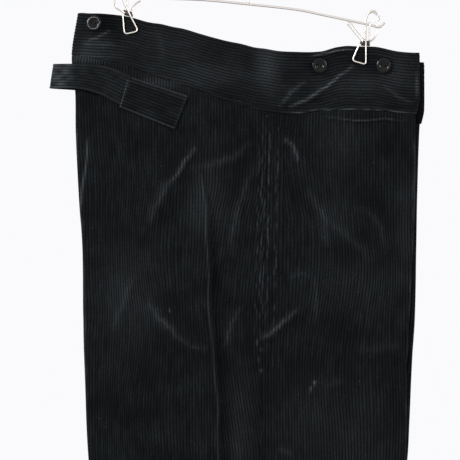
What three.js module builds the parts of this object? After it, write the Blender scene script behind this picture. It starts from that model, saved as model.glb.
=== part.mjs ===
// Corduroy work trousers, folded on the centre back and hung from a wire hanger by two clips.
// Millimetres. X runs from the centre back fold to the centre front, Z is up, and the wearer's
// right half faces -Y. The origin is where the hanger's hook rests on its rail.
import * as THREE from "three";

const WEARERS_RIGHT = -1;
const WEARERS_LEFT = 1;

// Cloth and sewing
const CLOTH = 1.7;
const BAND_THICKNESS = 3;
const HEM_THICKNESS = 3.4;
const HEM_HEIGHT = 32;
const SEAM_GAP = 0.3;
const HALF_GAP = SEAM_GAP / 2;
const SEWN_GAP = 0.5;
const BAND_SEAM_CLEAR = 0.45;
const SHORTEST_RETURN = 1.2;
const OUTSIDE = 200;

// Heights
const CROTCH_Z = -464;
const HEM_Z = -1237;
const RISE_ROWS = 14;
const LEG_ROWS = 14;
const RETURN_STEPS = 4;
const TURN_STEPS = 5;
const FRONT_WALL_STEPS = 6;
const BACK_WALL_SHARES = [0, 0.22, 0.45, 0.66, 0.86, 1];

// Waist: top edge and lower seam of the band, from the centre back to the centre front
const WAIST = [
  { x: -222, top: -84.6, seam: -135 },
  { x: -175, top: -86.4, seam: -142.8 },
  { x: -153, top: -88.8, seam: -148.2 },
  { x: -125, top: -96, seam: -159 },
  { x: -96, top: -102, seam: -168.6 },
  { x: -67, top: -109.8, seam: -178.8 },
  { x: -28, top: -120, seam: -193.2 },
  { x: 12, top: -128.4, seam: -203.4 },
  { x: 42, top: -131.2, seam: -206.4 },
  { x: 77, top: -131.4, seam: -202.8 },
  { x: 98, top: -124.8, seam: -201.8 },
  { x: 141, top: -124.8, seam: -202 },
  { x: 170, top: -130.8, seam: -204.7 },
  { x: 202, top: -132, seam: -206.4 },
];
const BAND_FRONT_END = 195.6;
const FAR_BAND_FRONT_END = 201;
const FAR_FRONT_DROP = 11;

// Outline of the folded trousers: the folds at the back and front, the side seam, the inseam
const OUTLINE = [
  { z: -84, back: -212.4, side: 13.2, inseam: 8, front: 190.4, farFront: 199 },
  { z: -135, back: -220, side: 13.2, inseam: 8, front: 190.4, farFront: 200 },
  { z: -179, back: -216, side: 13.2, inseam: 8, front: 190.4, farFront: 200.2 },
  { z: -224, back: -215.3, side: 13.2, inseam: 8, front: 190, farFront: 195.8 },
  { z: -296, back: -212, side: 12.2, inseam: 8, front: 189.8, farFront: 193.4 },
  { z: -368, back: -207.2, side: 10.8, inseam: 8, front: 187, farFront: 192.2 },
  { z: -440, back: -206.5, side: 9, inseam: 8, front: 183.2, farFront: 190.8 },
  { z: -512, back: -204.5, side: 7.2, inseam: 6, front: 179.6, farFront: 186.7 },
  { z: -620, back: -199.8, side: 3.6, inseam: 2, front: 177.6, farFront: 181.6 },
  { z: -830, back: -183.5, side: -6, inseam: -8, front: 157.5, farFront: 161 },
  { z: -1040, back: -166.5, side: -12, inseam: -13, front: 136.5, farFront: 140 },
  { z: -1240, back: -151, side: -15, inseam: -15, front: 121, farFront: 124.5 },
];

// How round the folds are, and how far the middle of each half stands off the centre plane
const FULLNESS = [
  { z: -84, backReach: 28, backRound: 20, frontRound: 2.2, middle: 13 },
  { z: -135, backReach: 20, backRound: 15, frontRound: 3.2, middle: 14 },
  { z: -180, backReach: 11, backRound: 10, frontRound: 4, middle: 16 },
  { z: -224, backReach: 8, backRound: 8, frontRound: 4.5, middle: 18 },
  { z: -296, backReach: 7, backRound: 7, frontRound: 5, middle: 21 },
  { z: -368, backReach: 6.5, backRound: 6.5, frontRound: 5.5, middle: 22 },
  { z: -464, backReach: 6, backRound: 6, frontRound: 6, middle: 22.5 },
  { z: -620, backReach: 6, backRound: 6, frontRound: 6, middle: 22 },
  { z: -830, backReach: 6, backRound: 6, frontRound: 6, middle: 21 },
  { z: -1240, backReach: 6, backRound: 6, frontRound: 6, middle: 20 },
];
const BACK_RISE_START_Z = -190;
const FRONT_RISE_START_Z = -300;
const RISE_CURVE = 2.2;
const FRONT_RETURN_AT_WAIST = 2.5;
const BACK_RETURN_AT_WAIST = 0.6;
const LEG_PARTING = 2.5;
const LEG_PARTING_HEIGHT = 80;
const FAR_BACK_SHIFT = 3;

// The long overlapping fold down the back of the leg
const LONG_FOLD = {
  startX: -63.6, startZ: -262, lean: 0.06, leanHeight: 340, height: 6.5, fullZ: -330, endZ: -900, fade: 260,
  width: 20, troughShare: 0.3,
};
const LONG_FOLD_CREST = 2;
const LONG_FOLD_FOOT = 2.5;
const LONG_FOLD_CLEAR = 18;

// Broad soft folds: a line from one end to the other, its half width and its height
const FOLDS_NEAR = [
  { fromX: -71, fromZ: -245, toX: -127, toZ: -336, width: 13, height: 3.5 },
  { fromX: -79, fromZ: -261, toX: -4, toZ: -226, width: 12, height: 2.5 },
  { fromX: -144, fromZ: -384, toX: -172, toZ: -466, width: 13, height: 2.5 },
  { fromX: -131, fromZ: -431, toX: -62, toZ: -484, width: 12, height: 3 },
  { fromX: 64, fromZ: -296, toX: 84, toZ: -368, width: 13, height: 2.5 },
  { fromX: 62, fromZ: -434, toX: 4, toZ: -476, width: 12, height: 3 },
  { fromX: -100, fromZ: -780, toX: 30, toZ: -830, width: 18, height: 3 },
  { fromX: 110, fromZ: -800, toX: 10, toZ: -860, width: 18, height: 2.5 },
];
const FOLDS_FAR = [
  { fromX: -76, fromZ: -262, toX: -132, toZ: -350, width: 14, height: 3.2 },
  { fromX: -120, fromZ: -446, toX: -48, toZ: -492, width: 13, height: 3 },
  { fromX: 70, fromZ: -310, toX: 88, toZ: -392, width: 13, height: 2.5 },
  { fromX: 70, fromZ: -446, toX: 8, toZ: -470, width: 13, height: 3 },
  { fromX: -110, fromZ: -800, toX: 20, toZ: -842, width: 18, height: 3 },
];

// Hanger and clips
const RAIL_HOOK_RADIUS = 16;
const HOOK_WIRE = 1.6;
const BAR_WIRE = 1.4;
const CLIP_WIRE = 1;
const BAIL_WIRE = 0.9;
const PINCHED_DEPTH = 1.9;
const PINCH_CORE = 10;
const PINCH_SPREAD = 30;
const PINCH_FADE = 48;
const JAW_DEPTH = PINCHED_DEPTH + BAND_THICKNESS / 2 + SEAM_GAP + CLIP_WIRE;
const BARREL_RADIUS = JAW_DEPTH - CLIP_WIRE - SEAM_GAP;
const BARREL_LENGTH = 12;
const HANDLE_START = 4;
const HANDLE_LEAN = 0.16;

const BAR_LINE = [
  [-172, -58], [-166, -63.5], [-154.8, -64.8], [-108, -66.6], [-62.5, -68.4], [-11.2, -73.3],
  [52.8, -80.6], [76.8, -85.6], [137.3, -98.4], [148, -100.8], [154, -96],
];
const HOOK_SHANK = [[-9.4, -71.7], [-8.2, -60], [-5.4, -48], [4, -40.5], [12.5, -31]];
const HOOK_DEGREES = [-15, 20, 55, 90, 125, 160, 195];
const CLIPS = {
  left: {
    x: -151.5,
    bottom: -110,
    barrel: { x: -153.5, z: -84.6, turn: 0.26 },
    bail: { x: -154.6, foot: -80.2, bar: -64.8 },
    jaw: [
      [-159.2, -88], [-158.4, -94], [-158, -105.5], [-155, -109], [-146, -107.4], [-142.6, -104.4],
      [-147, -96], [-151.6, -87.6], [-154.2, -81], [-157.5, -74], [-160.5, -66], [-165, -60], [-170, -62],
    ],
  },
  right: {
    x: 124.5,
    bottom: -145.5,
    barrel: { x: 131, z: -120.4, turn: 0.04 },
    bail: { x: 136.4, foot: -116.8, bar: -98.2 },
    jaw: [
      [124.2, -121.6], [121, -128], [116.9, -139.6], [118.8, -142.6], [128.6, -145.2], [131.6, -142.4],
      [131.6, -132], [131.6, -120], [131.6, -106], [132, -92], [135, -84.6], [140.4, -82.2], [146, -86],
      [147.4, -92],
    ],
  },
};

// Back strap, its root patches and its slide
const STRAP_THICKNESS = 2.4;
const STRAP_LINE = [
  { x: -246, z: -159.8, half: 14.6 },
  { x: -211, z: -161.4, half: 15 },
  { x: -185, z: -165.6, half: 17.6 },
  { x: -172.8, z: -170.2, half: 19.6 },
  { x: -150, z: -181, half: 20 },
];
const STRAP_LOOP_END = -244.5;
const STRAP_LOOP = [[-221, 18], [-230, 13], [-239, 7.4], [-243.6, 3.6], [STRAP_LOOP_END, 0]];
const STRAP_ROOT_X = -162.6;
const STRAP_GAP = 0.9;
const STRAP_LEAVES_X = -190;
const STRAP_LAST_SEAT_X = -212;
const STRAP_CLEAR_DEPTH = 14.6;
const STRAP_TONGUE_END = -198;
const STRAP_FAR_START = -194;
const PATCH_THICKNESS = 2.2;
const PATCH_CORNERS = {
  backTop: [-152.4, -160.8],
  frontTop: [-81, -184.4],
  frontBottom: [-97.2, -224.4],
  backBottom: [-163.2, -198],
};
const SLIDE = { x: -196, halfWidth: 11, halfHeight: 20, wire: 2.2, depth: 1.6, shorterSlot: 0.4 };

// Side pocket edge, fly and buttons
const POCKET_EDGE = { top: -221, bottom: -398, width: 19, thickness: 1.2 };
const PLACKET = { bottom: -378, width: 38, thickness: 1.6, edgeGap: 1.4 };
const BUTTON_RADIUS = 9.2;
const BUTTON_THICKNESS = 3.4;
const SUSPENDER_BUTTONS = [
  { name: "back", x: -193, z: -98, lean: 0.3 },
  { name: "side_front", x: 75.3, z: -148.2, lean: 0 },
  { name: "front", x: 153.2, z: -147.6, lean: 0 },
];
const RIM_SHARE = 0.9;
const RIM_STEPS = 12;
const FLY_BUTTONS = { heights: [-236, -282, -328], fromSeam: 22, radius: 7.5 };
const WAIST_BUTTON = { x: 178, z: -170, clear: 0.9, radius: 8.5 };

const clothMaterial = { color: 0x16191a, roughness: 0.95, metalness: 0 };
const buttonMaterial = { color: 0x1b1a19, roughness: 0.3, metalness: 0 };
const wireMaterial = { color: 0xc9ccd0, roughness: 0.25, metalness: 1 };
const springMaterial = { color: 0x8f8478, roughness: 0.45, metalness: 0.8 };

function smooth(t) {
  const held = Math.min(1, Math.max(0, t));
  return held * held * (3 - 2 * held);
}

function mix(a, b, t) {
  return a + (b - a) * t;
}

// Reads a value from a table at a place, along a curve that passes smoothly through every row
function read(rows, key, value, at) {
  const direction = Math.sign(rows[rows.length - 1][key] - rows[0][key]);
  let k = 0;
  while (k < rows.length - 2 && direction * (at - rows[k + 1][key]) > 0) k += 1;
  const span = rows[k + 1][key] - rows[k][key];
  const t = Math.min(1, Math.max(0, (at - rows[k][key]) / span));
  const slope = (n) => {
    const before = rows[Math.max(0, n - 1)];
    const after = rows[Math.min(rows.length - 1, n + 1)];
    return (after[value] - before[value]) / (after[key] - before[key]);
  };
  const first = slope(k) * span;
  const last = slope(k + 1) * span;
  const squared = t * t;
  const cubed = squared * t;
  return (
    rows[k][value] * (2 * cubed - 3 * squared + 1) +
    first * (cubed - 2 * squared + t) +
    rows[k + 1][value] * (3 * squared - 2 * cubed) +
    last * (cubed - squared)
  );
}

const outline = (name, z) => read(OUTLINE, "z", name, z);
const fullness = (name, z) => read(FULLNESS, "z", name, z);

function backEdge(half, z) {
  const shift = half === WEARERS_LEFT ? FAR_BACK_SHIFT * smooth((-250 - z) / 200) : 0;
  return outline("back", z) + shift;
}

function frontEdge(half, z) {
  return outline(half === WEARERS_LEFT ? "farFront" : "front", z);
}

// The centre back and centre front seams leave the folds and meet the inseam at the crotch
function backSeam(z) {
  if (z <= CROTCH_Z) return outline("inseam", z);
  const down = Math.max(0, (BACK_RISE_START_Z - z) / (BACK_RISE_START_Z - CROTCH_Z));
  const deepest = outline("inseam", CROTCH_Z) - outline("back", CROTCH_Z);
  return outline("back", z) + mix(BACK_RETURN_AT_WAIST, deepest, down ** RISE_CURVE);
}

function frontSeam(z) {
  if (z <= CROTCH_Z) return outline("inseam", z);
  const down = Math.max(0, (FRONT_RISE_START_Z - z) / (FRONT_RISE_START_Z - CROTCH_Z));
  const deepest = outline("front", CROTCH_Z) - outline("inseam", CROTCH_Z);
  return outline("front", z) - mix(FRONT_RETURN_AT_WAIST, deepest, down ** RISE_CURVE);
}

const legParting = (z) => LEG_PARTING * smooth((CROTCH_Z - z) / LEG_PARTING_HEIGHT);

// One folded edge: an oval turn, and a short or long return along the centre plane to the seam
function foldedEdge(half, which, z) {
  const isBack = which === "back";
  const edge = isBack ? backEdge(half, z) : frontEdge(half, z);
  const inward = isBack ? 1 : -1;
  const seam = (isBack ? backSeam(z) : frontSeam(z)) - inward * HALF_GAP;
  const reach = fullness(isBack ? "backReach" : "frontRound", z);
  const round = fullness(isBack ? "backRound" : "frontRound", z);
  const depth = Math.abs(seam - edge);
  const turn = depth >= reach ? Math.PI / 2 : Math.acos(1 - depth / reach);
  const run = Math.max(SHORTEST_RETURN, depth - reach);
  const alongX = reach * Math.sin(turn);
  const alongDepth = round * Math.cos(turn);
  const length = Math.hypot(alongX, alongDepth);
  const dip = (run * alongDepth) / length;
  const clear = HALF_GAP + (round + CLOTH / 2) * Math.sin(turn) + (CLOTH / 2) * Math.cos(turn);
  const centre = clear + dip + legParting(z);
  return { edge, inward, reach, round, turn, run, alongX, alongDepth, length, centre };
}

// A point of the return run: 0 at the seam, 1 where the turn starts
function returnPoint(fold, t) {
  const back = fold.run * (1 - t);
  const inside = fold.reach * (1 - Math.cos(fold.turn)) + (back * fold.alongX) / fold.length;
  const depth = fold.centre - fold.round * Math.sin(fold.turn) - (back * fold.alongDepth) / fold.length;
  return { x: fold.edge + fold.inward * inside, depth };
}

// A point of the turn: 0 where the return run ends, 1 where the outer wall starts
function turnPoint(fold, t) {
  const angle = mix(-fold.turn, Math.PI / 2, t);
  const x = fold.edge + fold.inward * fold.reach * (1 - Math.cos(angle));
  return { x, depth: fold.centre + fold.round * Math.sin(angle) };
}

function softFold(fold, x, z) {
  const lengthX = fold.toX - fold.fromX;
  const lengthZ = fold.toZ - fold.fromZ;
  const length = Math.hypot(lengthX, lengthZ);
  const along = ((x - fold.fromX) * lengthX + (z - fold.fromZ) * lengthZ) / (length * length);
  if (along <= 0 || along >= 1) return 0;
  const across = ((x - fold.fromX) * lengthZ - (z - fold.fromZ) * lengthX) / length;
  return fold.height * Math.exp(-((across / fold.width) ** 2)) * Math.sqrt(Math.sin(Math.PI * along));
}

function longFoldX(z) {
  const down = Math.min(LONG_FOLD.leanHeight, Math.max(0, LONG_FOLD.startZ - z));
  return LONG_FOLD.startX + LONG_FOLD.lean * down;
}

function longFold(x, z) {
  const grown = smooth((LONG_FOLD.startZ - z) / (LONG_FOLD.startZ - LONG_FOLD.fullZ));
  const left = smooth((z - LONG_FOLD.endZ) / LONG_FOLD.fade);
  const height = LONG_FOLD.height * grown * left;
  const past = x - longFoldX(z);
  const trough = -LONG_FOLD.troughShare;
  if (past <= -LONG_FOLD_CREST) {
    return height * Math.exp(-(((past + LONG_FOLD_CREST) / LONG_FOLD.width) ** 2));
  }
  if (past <= LONG_FOLD_FOOT) {
    return height * mix(1, trough, (past + LONG_FOLD_CREST) / (LONG_FOLD_CREST + LONG_FOLD_FOOT));
  }
  return height * trough * (1 - smooth((past - LONG_FOLD_FOOT) / LONG_FOLD_CLEAR));
}

// The clips press the band flat, and the cloth opens again below and beside them
function pressed(x, z, depth) {
  let press = 0;
  for (const clip of Object.values(CLIPS)) {
    const beside = Math.max(0, Math.abs(x - clip.x) - PINCH_CORE) / PINCH_SPREAD;
    const below = Math.max(0, clip.bottom - 2 - z) / PINCH_FADE;
    press = Math.max(press, Math.exp(-beside * beside - below * below));
  }
  return mix(depth, Math.min(depth, PINCHED_DEPTH), press);
}

// Distance of the outer cloth from the centre plane
function outerDepth(half, x, z) {
  const back = foldedEdge(half, "back", z);
  const front = foldedEdge(half, "front", z);
  const start = back.edge + back.reach;
  const end = front.edge - front.reach;
  const across = Math.min(1, Math.max(0, (x - start) / (end - start)));
  const atEdges = mix(back.centre + back.round, front.centre + front.round, smooth(across));
  const swell = 1 - Math.abs(2 * across - 1) ** 3;
  const folds = half === WEARERS_RIGHT ? FOLDS_NEAR : FOLDS_FAR;
  const inside = smooth(across / 0.08) * smooth((1 - across) / 0.08);
  const creased = folds.reduce((sum, fold) => sum + softFold(fold, x, z), longFold(x, z));
  return mix(atEdges, fullness("middle", z), swell) + inside * creased;
}

const outerY = (half, x, z) => half * pressed(x, z, outerDepth(half, x, z));

function frontDrop(half, x) {
  const forward = Math.min(1, Math.max(0, (x + 215) / 415));
  return half === WEARERS_LEFT ? FAR_FRONT_DROP * forward * forward : 0;
}

const bandTop = (half, x) => read(WAIST, "x", "top", x) - frontDrop(half, x);
const bandSeam = (half, x) => read(WAIST, "x", "seam", x) - frontDrop(half, x);
const SIDE_TOP_Z = read(WAIST, "x", "seam", outline("side", -200));

// Rows of a panel: heights at the side seam, closer together near the crotch and at the hem
function panelRows() {
  const rows = [];
  const top = SIDE_TOP_Z - HALF_GAP;
  for (let k = 0; k <= RISE_ROWS; k += 1) {
    const t = k / RISE_ROWS;
    const down = t * (1.35 - 0.35 * t);
    rows.push({ z: mix(top, CROTCH_Z, down), slant: (1 - down) ** 1.4, hem: false });
  }
  const hemTop = HEM_Z + HEM_HEIGHT;
  for (let k = 1; k <= LEG_ROWS; k += 1) {
    rows.push({ z: mix(CROTCH_Z, hemTop, (k / LEG_ROWS) ** 1.25), slant: 0, hem: k === LEG_ROWS });
  }
  rows.push({ z: HEM_Z, slant: 0, hem: true });
  return rows;
}
const ROWS = panelRows();

// A row starts parallel to the band's lower seam and levels out on its way to the crotch
function rowHeight(half, row, x) {
  return row.z + (bandSeam(half, x) - SIDE_TOP_Z) * row.slant;
}

function settle(half, row, place) {
  let z = row.z;
  let point = place(z);
  for (let k = 0; k < 6; k += 1) {
    z = rowHeight(half, row, point.x);
    point = place(z);
  }
  return { x: point.x, depth: point.depth, z };
}

function panelPoint(half, row, place) {
  const point = settle(half, row, place);
  return new THREE.Vector3(point.x, half * pressed(point.x, point.z, point.depth), point.z);
}

// Places across the outer wall, from the turn to the side seam. The back panel's follow its long fold
function wallPlaces(half, which, z) {
  const fold = foldedEdge(half, which, z);
  const start = fold.edge + fold.inward * fold.reach;
  const side = outline("side", z);
  if (which === "front") {
    const steps = Array.from({ length: FRONT_WALL_STEPS + 1 }, (_, k) => k / FRONT_WALL_STEPS);
    return steps.map((t) => mix(start, side + HALF_GAP, t));
  }
  const line = longFoldX(z);
  const toCrest = BACK_WALL_SHARES.map((t) => mix(start, line - LONG_FOLD_CREST, t));
  const clear = line + LONG_FOLD_CLEAR;
  return [...toCrest, line + LONG_FOLD_FOOT, clear, mix(clear, side, 0.5), side - HALF_GAP];
}

// Stations across a panel, from its centre seam to the side seam
function panelStations(half, which) {
  const stations = [];
  const fold = (z) => foldedEdge(half, which, z);
  for (let k = 0; k < RETURN_STEPS; k += 1) {
    stations.push((z) => returnPoint(fold(z), k / RETURN_STEPS));
  }
  for (let k = 0; k < TURN_STEPS; k += 1) {
    stations.push((z) => turnPoint(fold(z), k / TURN_STEPS));
  }
  wallPlaces(half, which, CROTCH_Z).forEach((_, k) => {
    stations.push((z) => {
      const x = wallPlaces(half, which, z)[k];
      return { x, depth: outerDepth(half, x, z) };
    });
  });
  return stations;
}

// A wall of cloth: a grid of middle points moved out and in along the level normal, closed all round
function clothWall(grid, outward, thickness) {
  const rows = grid.length;
  const columns = grid[0].length;
  const positions = [];
  const sheets = [1, -1];
  for (const sheet of sheets) {
    for (let i = 0; i < rows; i += 1) {
      for (let j = 0; j < columns; j += 1) {
        const before = grid[i][Math.max(0, j - 1)];
        const after = grid[i][Math.min(columns - 1, j + 1)];
        const normal = new THREE.Vector3(after.y - before.y, before.x - after.x, 0).normalize();
        const moved = thickness(i, j)[sheet === 1 ? 0 : 1];
        const point = grid[i][j].clone().addScaledVector(normal, sheet * outward * moved);
        positions.push(point.x, point.y, point.z);
      }
    }
  }
  const faces = [];
  const at = (sheet, i, j) => sheet * rows * columns + i * columns + j;
  const quad = (a, b, c, d) => faces.push(a, b, c, a, c, d);
  for (let i = 0; i + 1 < rows; i += 1) {
    for (let j = 0; j + 1 < columns; j += 1) {
      quad(at(0, i, j), at(0, i, j + 1), at(0, i + 1, j + 1), at(0, i + 1, j));
      quad(at(1, i, j), at(1, i + 1, j), at(1, i + 1, j + 1), at(1, i, j + 1));
    }
    quad(at(0, i, 0), at(0, i + 1, 0), at(1, i + 1, 0), at(1, i, 0));
    quad(at(0, i, columns - 1), at(1, i, columns - 1), at(1, i + 1, columns - 1), at(0, i + 1, columns - 1));
  }
  for (let j = 0; j + 1 < columns; j += 1) {
    quad(at(0, 0, j), at(1, 0, j), at(1, 0, j + 1), at(0, 0, j + 1));
    quad(at(0, rows - 1, j), at(0, rows - 1, j + 1), at(1, rows - 1, j + 1), at(1, rows - 1, j));
  }
  return outwardFacing(positions, faces);
}

// Turns every face over when the closed mesh encloses a negative volume
function outwardFacing(positions, faces) {
  let volume = 0;
  const corner = (n) => new THREE.Vector3(positions[3 * n], positions[3 * n + 1], positions[3 * n + 2]);
  for (let k = 0; k < faces.length; k += 3) {
    volume += corner(faces[k]).dot(corner(faces[k + 1]).cross(corner(faces[k + 2])));
  }
  if (volume < 0) {
    for (let k = 0; k < faces.length; k += 3) {
      const first = faces[k];
      faces[k] = faces[k + 1];
      faces[k + 1] = first;
    }
  }
  const geometry = new THREE.BufferGeometry();
  geometry.setAttribute("position", new THREE.Float32BufferAttribute(positions, 3));
  geometry.setIndex(faces);
  geometry.computeVertexNormals();
  return geometry;
}

function panel(half, which) {
  const stations = panelStations(half, which);
  const grid = ROWS.map((row) => stations.map((place) => panelPoint(half, row, place)));
  const outward = which === "back" ? -half : half;
  const thickness = (i) => [CLOTH / 2, ROWS[i].hem ? HEM_THICKNESS - CLOTH / 2 : CLOTH / 2];
  return clothWall(grid, outward, thickness);
}

// The band turns round the centre back as the panels do, and its front end is open
function bandPoint(half, station, down) {
  const frontEnd = half === WEARERS_LEFT ? FAR_BAND_FRONT_END : BAND_FRONT_END;
  const heightAt = (x) => mix(bandTop(half, x), bandSeam(half, x) + HALF_GAP, down);
  let z = heightAt(-200);
  let point = { x: 0, depth: 0 };
  for (let k = 0; k < 5; k += 1) {
    if (station < TURN_STEPS) {
      const angle = (station / TURN_STEPS) * (Math.PI / 2);
      point = {
        x: outline("back", z) + fullness("backReach", z) * (1 - Math.cos(angle)),
        depth: BAND_SEAM_CLEAR + fullness("backRound", z) * Math.sin(angle),
      };
    } else {
      const back = wallPlaces(half, "back", z).slice(0, -1);
      const front = wallPlaces(half, "front", z).reverse().slice(1);
      const last = front[front.length - 1];
      const places = [...back, outline("side", z), ...front, mix(last, frontEnd, 0.5), frontEnd];
      const x = places[station - TURN_STEPS];
      point = { x, depth: outerDepth(half, x, z) };
    }
    z = heightAt(point.x);
  }
  return new THREE.Vector3(point.x, half * pressed(point.x, z, point.depth), z);
}

// Between two stations the lowest row stays straight, so it keeps its gap to the panels' top edge
function waistband(half) {
  const HEIGHT_STEPS = 4;
  const stations = TURN_STEPS + BACK_WALL_SHARES.length + 4 + FRONT_WALL_STEPS + 2;
  const grid = [];
  for (let i = 0; i <= HEIGHT_STEPS; i += 1) {
    const down = i / HEIGHT_STEPS;
    const row = [bandPoint(half, 0, down)];
    for (let j = 1; j < stations; j += 1) {
      const before = row[row.length - 1];
      const here = bandPoint(half, j, down);
      if (j > TURN_STEPS) {
        const halfway = before.clone().lerp(here, 0.5);
        const z = mix(mix(bandTop(half, halfway.x), bandSeam(half, halfway.x), down), halfway.z, down);
        const y = outerY(half, halfway.x, z);
        if (down < 1) halfway.set(halfway.x, y, z);
        row.push(halfway);
      }
      row.push(here);
    }
    grid.push(row);
  }
  return clothWall(grid, -half, () => [BAND_THICKNESS / 2, BAND_THICKNESS / 2]);
}

// Where a level line from outside first meets the cloth
const sightLine = new THREE.Raycaster();
function seat(meshes, half, x, z) {
  sightLine.set(new THREE.Vector3(x, half * OUTSIDE, z), new THREE.Vector3(0, -half, 0));
  const hits = sightLine.intersectObjects(meshes);
  return hits.length > 0 ? hits[0].point.y : 0;
}

// A strip that follows a level path and stands as high as the strap line says
function strapWall(path) {
  const WIDTH_STEPS = 3;
  const grid = [];
  for (let i = 0; i <= WIDTH_STEPS; i += 1) {
    const across = mix(1, -1, i / WIDTH_STEPS);
    grid.push(path.map(([x, y]) => {
      const centre = read(STRAP_LINE, "x", "z", x);
      return new THREE.Vector3(x, y, centre + across * read(STRAP_LINE, "x", "half", x));
    }));
  }
  return clothWall(grid, 1, () => [STRAP_THICKNESS / 2, STRAP_THICKNESS / 2]);
}

// The strap lies on the highest cloth across its width, and never nearer than its clear depth
function strapDepth(cloth, half, x) {
  const centre = read(STRAP_LINE, "x", "z", x);
  const reach = read(STRAP_LINE, "x", "half", x);
  let deepest = x < STRAP_LEAVES_X ? STRAP_CLEAR_DEPTH : 0;
  for (const across of [-1, -0.5, 0, 0.5, 1]) {
    const under = Math.abs(seat(cloth, half, x, centre + across * reach));
    deepest = Math.max(deepest, under + STRAP_GAP + STRAP_THICKNESS / 2);
  }
  return deepest;
}

function strapLying(cloth, half, from, to, steps) {
  const path = [];
  for (let k = 0; k <= steps; k += 1) {
    const x = mix(from, to, k / steps);
    path.push([x, half * strapDepth(cloth, half, x)]);
  }
  return path;
}

function strapTongue(nearCloth, farCloth) {
  const near = strapLying(nearCloth, WEARERS_RIGHT, STRAP_ROOT_X, STRAP_LAST_SEAT_X, 6);
  const out = STRAP_LOOP.map(([x, depth]) => [x, -depth]);
  const round = STRAP_LOOP.slice(0, -1).reverse();
  const far = strapLying(farCloth, WEARERS_LEFT, STRAP_LAST_SEAT_X, STRAP_TONGUE_END, 2);
  return strapWall([...near, ...out, ...round, ...far]);
}

function strapShort(farCloth) {
  return strapWall(strapLying(farCloth, WEARERS_LEFT, STRAP_FAR_START, STRAP_ROOT_X, 4));
}

// A flat piece sewn on the outside of a panel, made from the panel's own points moved out
function sewnOn(cloth, half, steps, place, thickness) {
  const grid = [];
  for (let i = 0; i <= steps.down; i += 1) {
    const row = [];
    for (let j = 0; j <= steps.across; j += 1) {
      const [x, z] = place(j / steps.across, i / steps.down);
      row.push(new THREE.Vector3(x, seat(cloth, half, x, z) + half * (SEWN_GAP + thickness / 2), z));
    }
    grid.push(row);
  }
  return clothWall(grid, 1, () => [thickness / 2, thickness / 2]);
}

function rootPatch(cloth, half) {
  const corners = PATCH_CORNERS;
  const place = (u, v) => [0, 1].map((axis) => mix(
    mix(corners.backTop[axis], corners.frontTop[axis], u),
    mix(corners.backBottom[axis], corners.frontBottom[axis], u),
    v,
  ));
  return sewnOn(cloth, half, { across: 8, down: 5 }, place, PATCH_THICKNESS);
}

function pocketEdge(cloth, half) {
  const place = (u, v) => {
    const z = mix(POCKET_EDGE.top, POCKET_EDGE.bottom, v);
    return [outline("side", z) + 1 + u * POCKET_EDGE.width, z];
  };
  return sewnOn(cloth, half, { across: 2, down: 14 }, place, POCKET_EDGE.thickness);
}

// The fly's underlap hangs inside, against the centre front seam
function flyPlacket() {
  const STEPS = 6;
  const grid = [];
  for (let i = 0; i <= STEPS; i += 1) {
    const row = [];
    for (let j = 0; j <= 2; j += 1) {
      const seam = bandSeam(WEARERS_LEFT, BAND_FRONT_END);
      const z = mix(seam - 2, PLACKET.bottom, i / STEPS);
      const x = frontSeam(z) - PLACKET.edgeGap - (PLACKET.width * (2 - j)) / 2;
      row.push(new THREE.Vector3(x, 0, z));
    }
    grid.push(row);
  }
  return clothWall(grid, 1, () => [PLACKET.thickness / 2, PLACKET.thickness / 2]);
}

// A sewn button: a broad rim round a dished middle, turned about its own axis
function buttonShape(radius) {
  const half = BUTTON_THICKNESS / 2;
  const profile = [
    [0, -half], [radius * 0.72, -half], [radius, -half * 0.1], [radius * 0.97, half * 0.6],
    [radius * 0.82, half], [radius * 0.62, half * 0.75], [radius * 0.48, -half * 0.1], [0, -half * 0.25],
  ];
  return new THREE.LatheGeometry(profile.map(([x, y]) => new THREE.Vector2(x, y)), 12);
}

// A button sits square on the cloth, tilted if it leans, and clears the cloth under its whole rim
function placeButton(mesh, cloth, half, x, z, lean) {
  const at = (dx, dz) => new THREE.Vector3(x + dx, seat(cloth, half, x + dx, z + dz), z + dz);
  const reach = BUTTON_RADIUS * RIM_SHARE;
  const sideways = at(reach, 0).sub(at(-reach, 0));
  const upward = at(0, reach).sub(at(0, -reach));
  const axis = sideways.cross(upward).normalize();
  if (axis.y * half < 0) axis.negate();
  axis.add(new THREE.Vector3(-lean, 0, 0)).normalize();
  const centre = at(0, 0);
  let raised = 0;
  for (let k = 0; k < RIM_STEPS; k += 1) {
    const angle = (2 * Math.PI * k) / RIM_STEPS;
    const rim = at(BUTTON_RADIUS * Math.cos(angle), BUTTON_RADIUS * Math.sin(angle));
    raised = Math.max(raised, rim.sub(centre).dot(axis));
  }
  mesh.position.copy(centre).addScaledVector(axis, raised + SEWN_GAP + BUTTON_THICKNESS / 2);
  mesh.quaternion.setFromUnitVectors(new THREE.Vector3(0, 1, 0), axis);
}

// A round wire bent along a smooth line through its points
function bentWire(points, radius, sides, steps) {
  const section = new THREE.Shape();
  for (let k = 0; k < sides; k += 1) {
    const angle = (2 * Math.PI * k) / sides;
    const x = radius * Math.cos(angle);
    const y = radius * Math.sin(angle);
    if (k === 0) section.moveTo(x, y);
    else section.lineTo(x, y);
  }
  const line = new THREE.CatmullRomCurve3(points, false, "centripetal");
  const settings = { steps, extrudePath: line, curveSegments: 1, bevelEnabled: false };
  return new THREE.ExtrudeGeometry(section, settings);
}

function hangerHook() {
  const radius = RAIL_HOOK_RADIUS + HOOK_WIRE;
  const points = [...HOOK_SHANK];
  for (const degrees of HOOK_DEGREES) {
    const angle = (degrees * Math.PI) / 180;
    points.push([radius * Math.cos(angle), -RAIL_HOOK_RADIUS + radius * Math.sin(angle)]);
  }
  return bentWire(points.map(([x, z]) => new THREE.Vector3(x, 0, z)), HOOK_WIRE, 8, 34);
}

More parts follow.
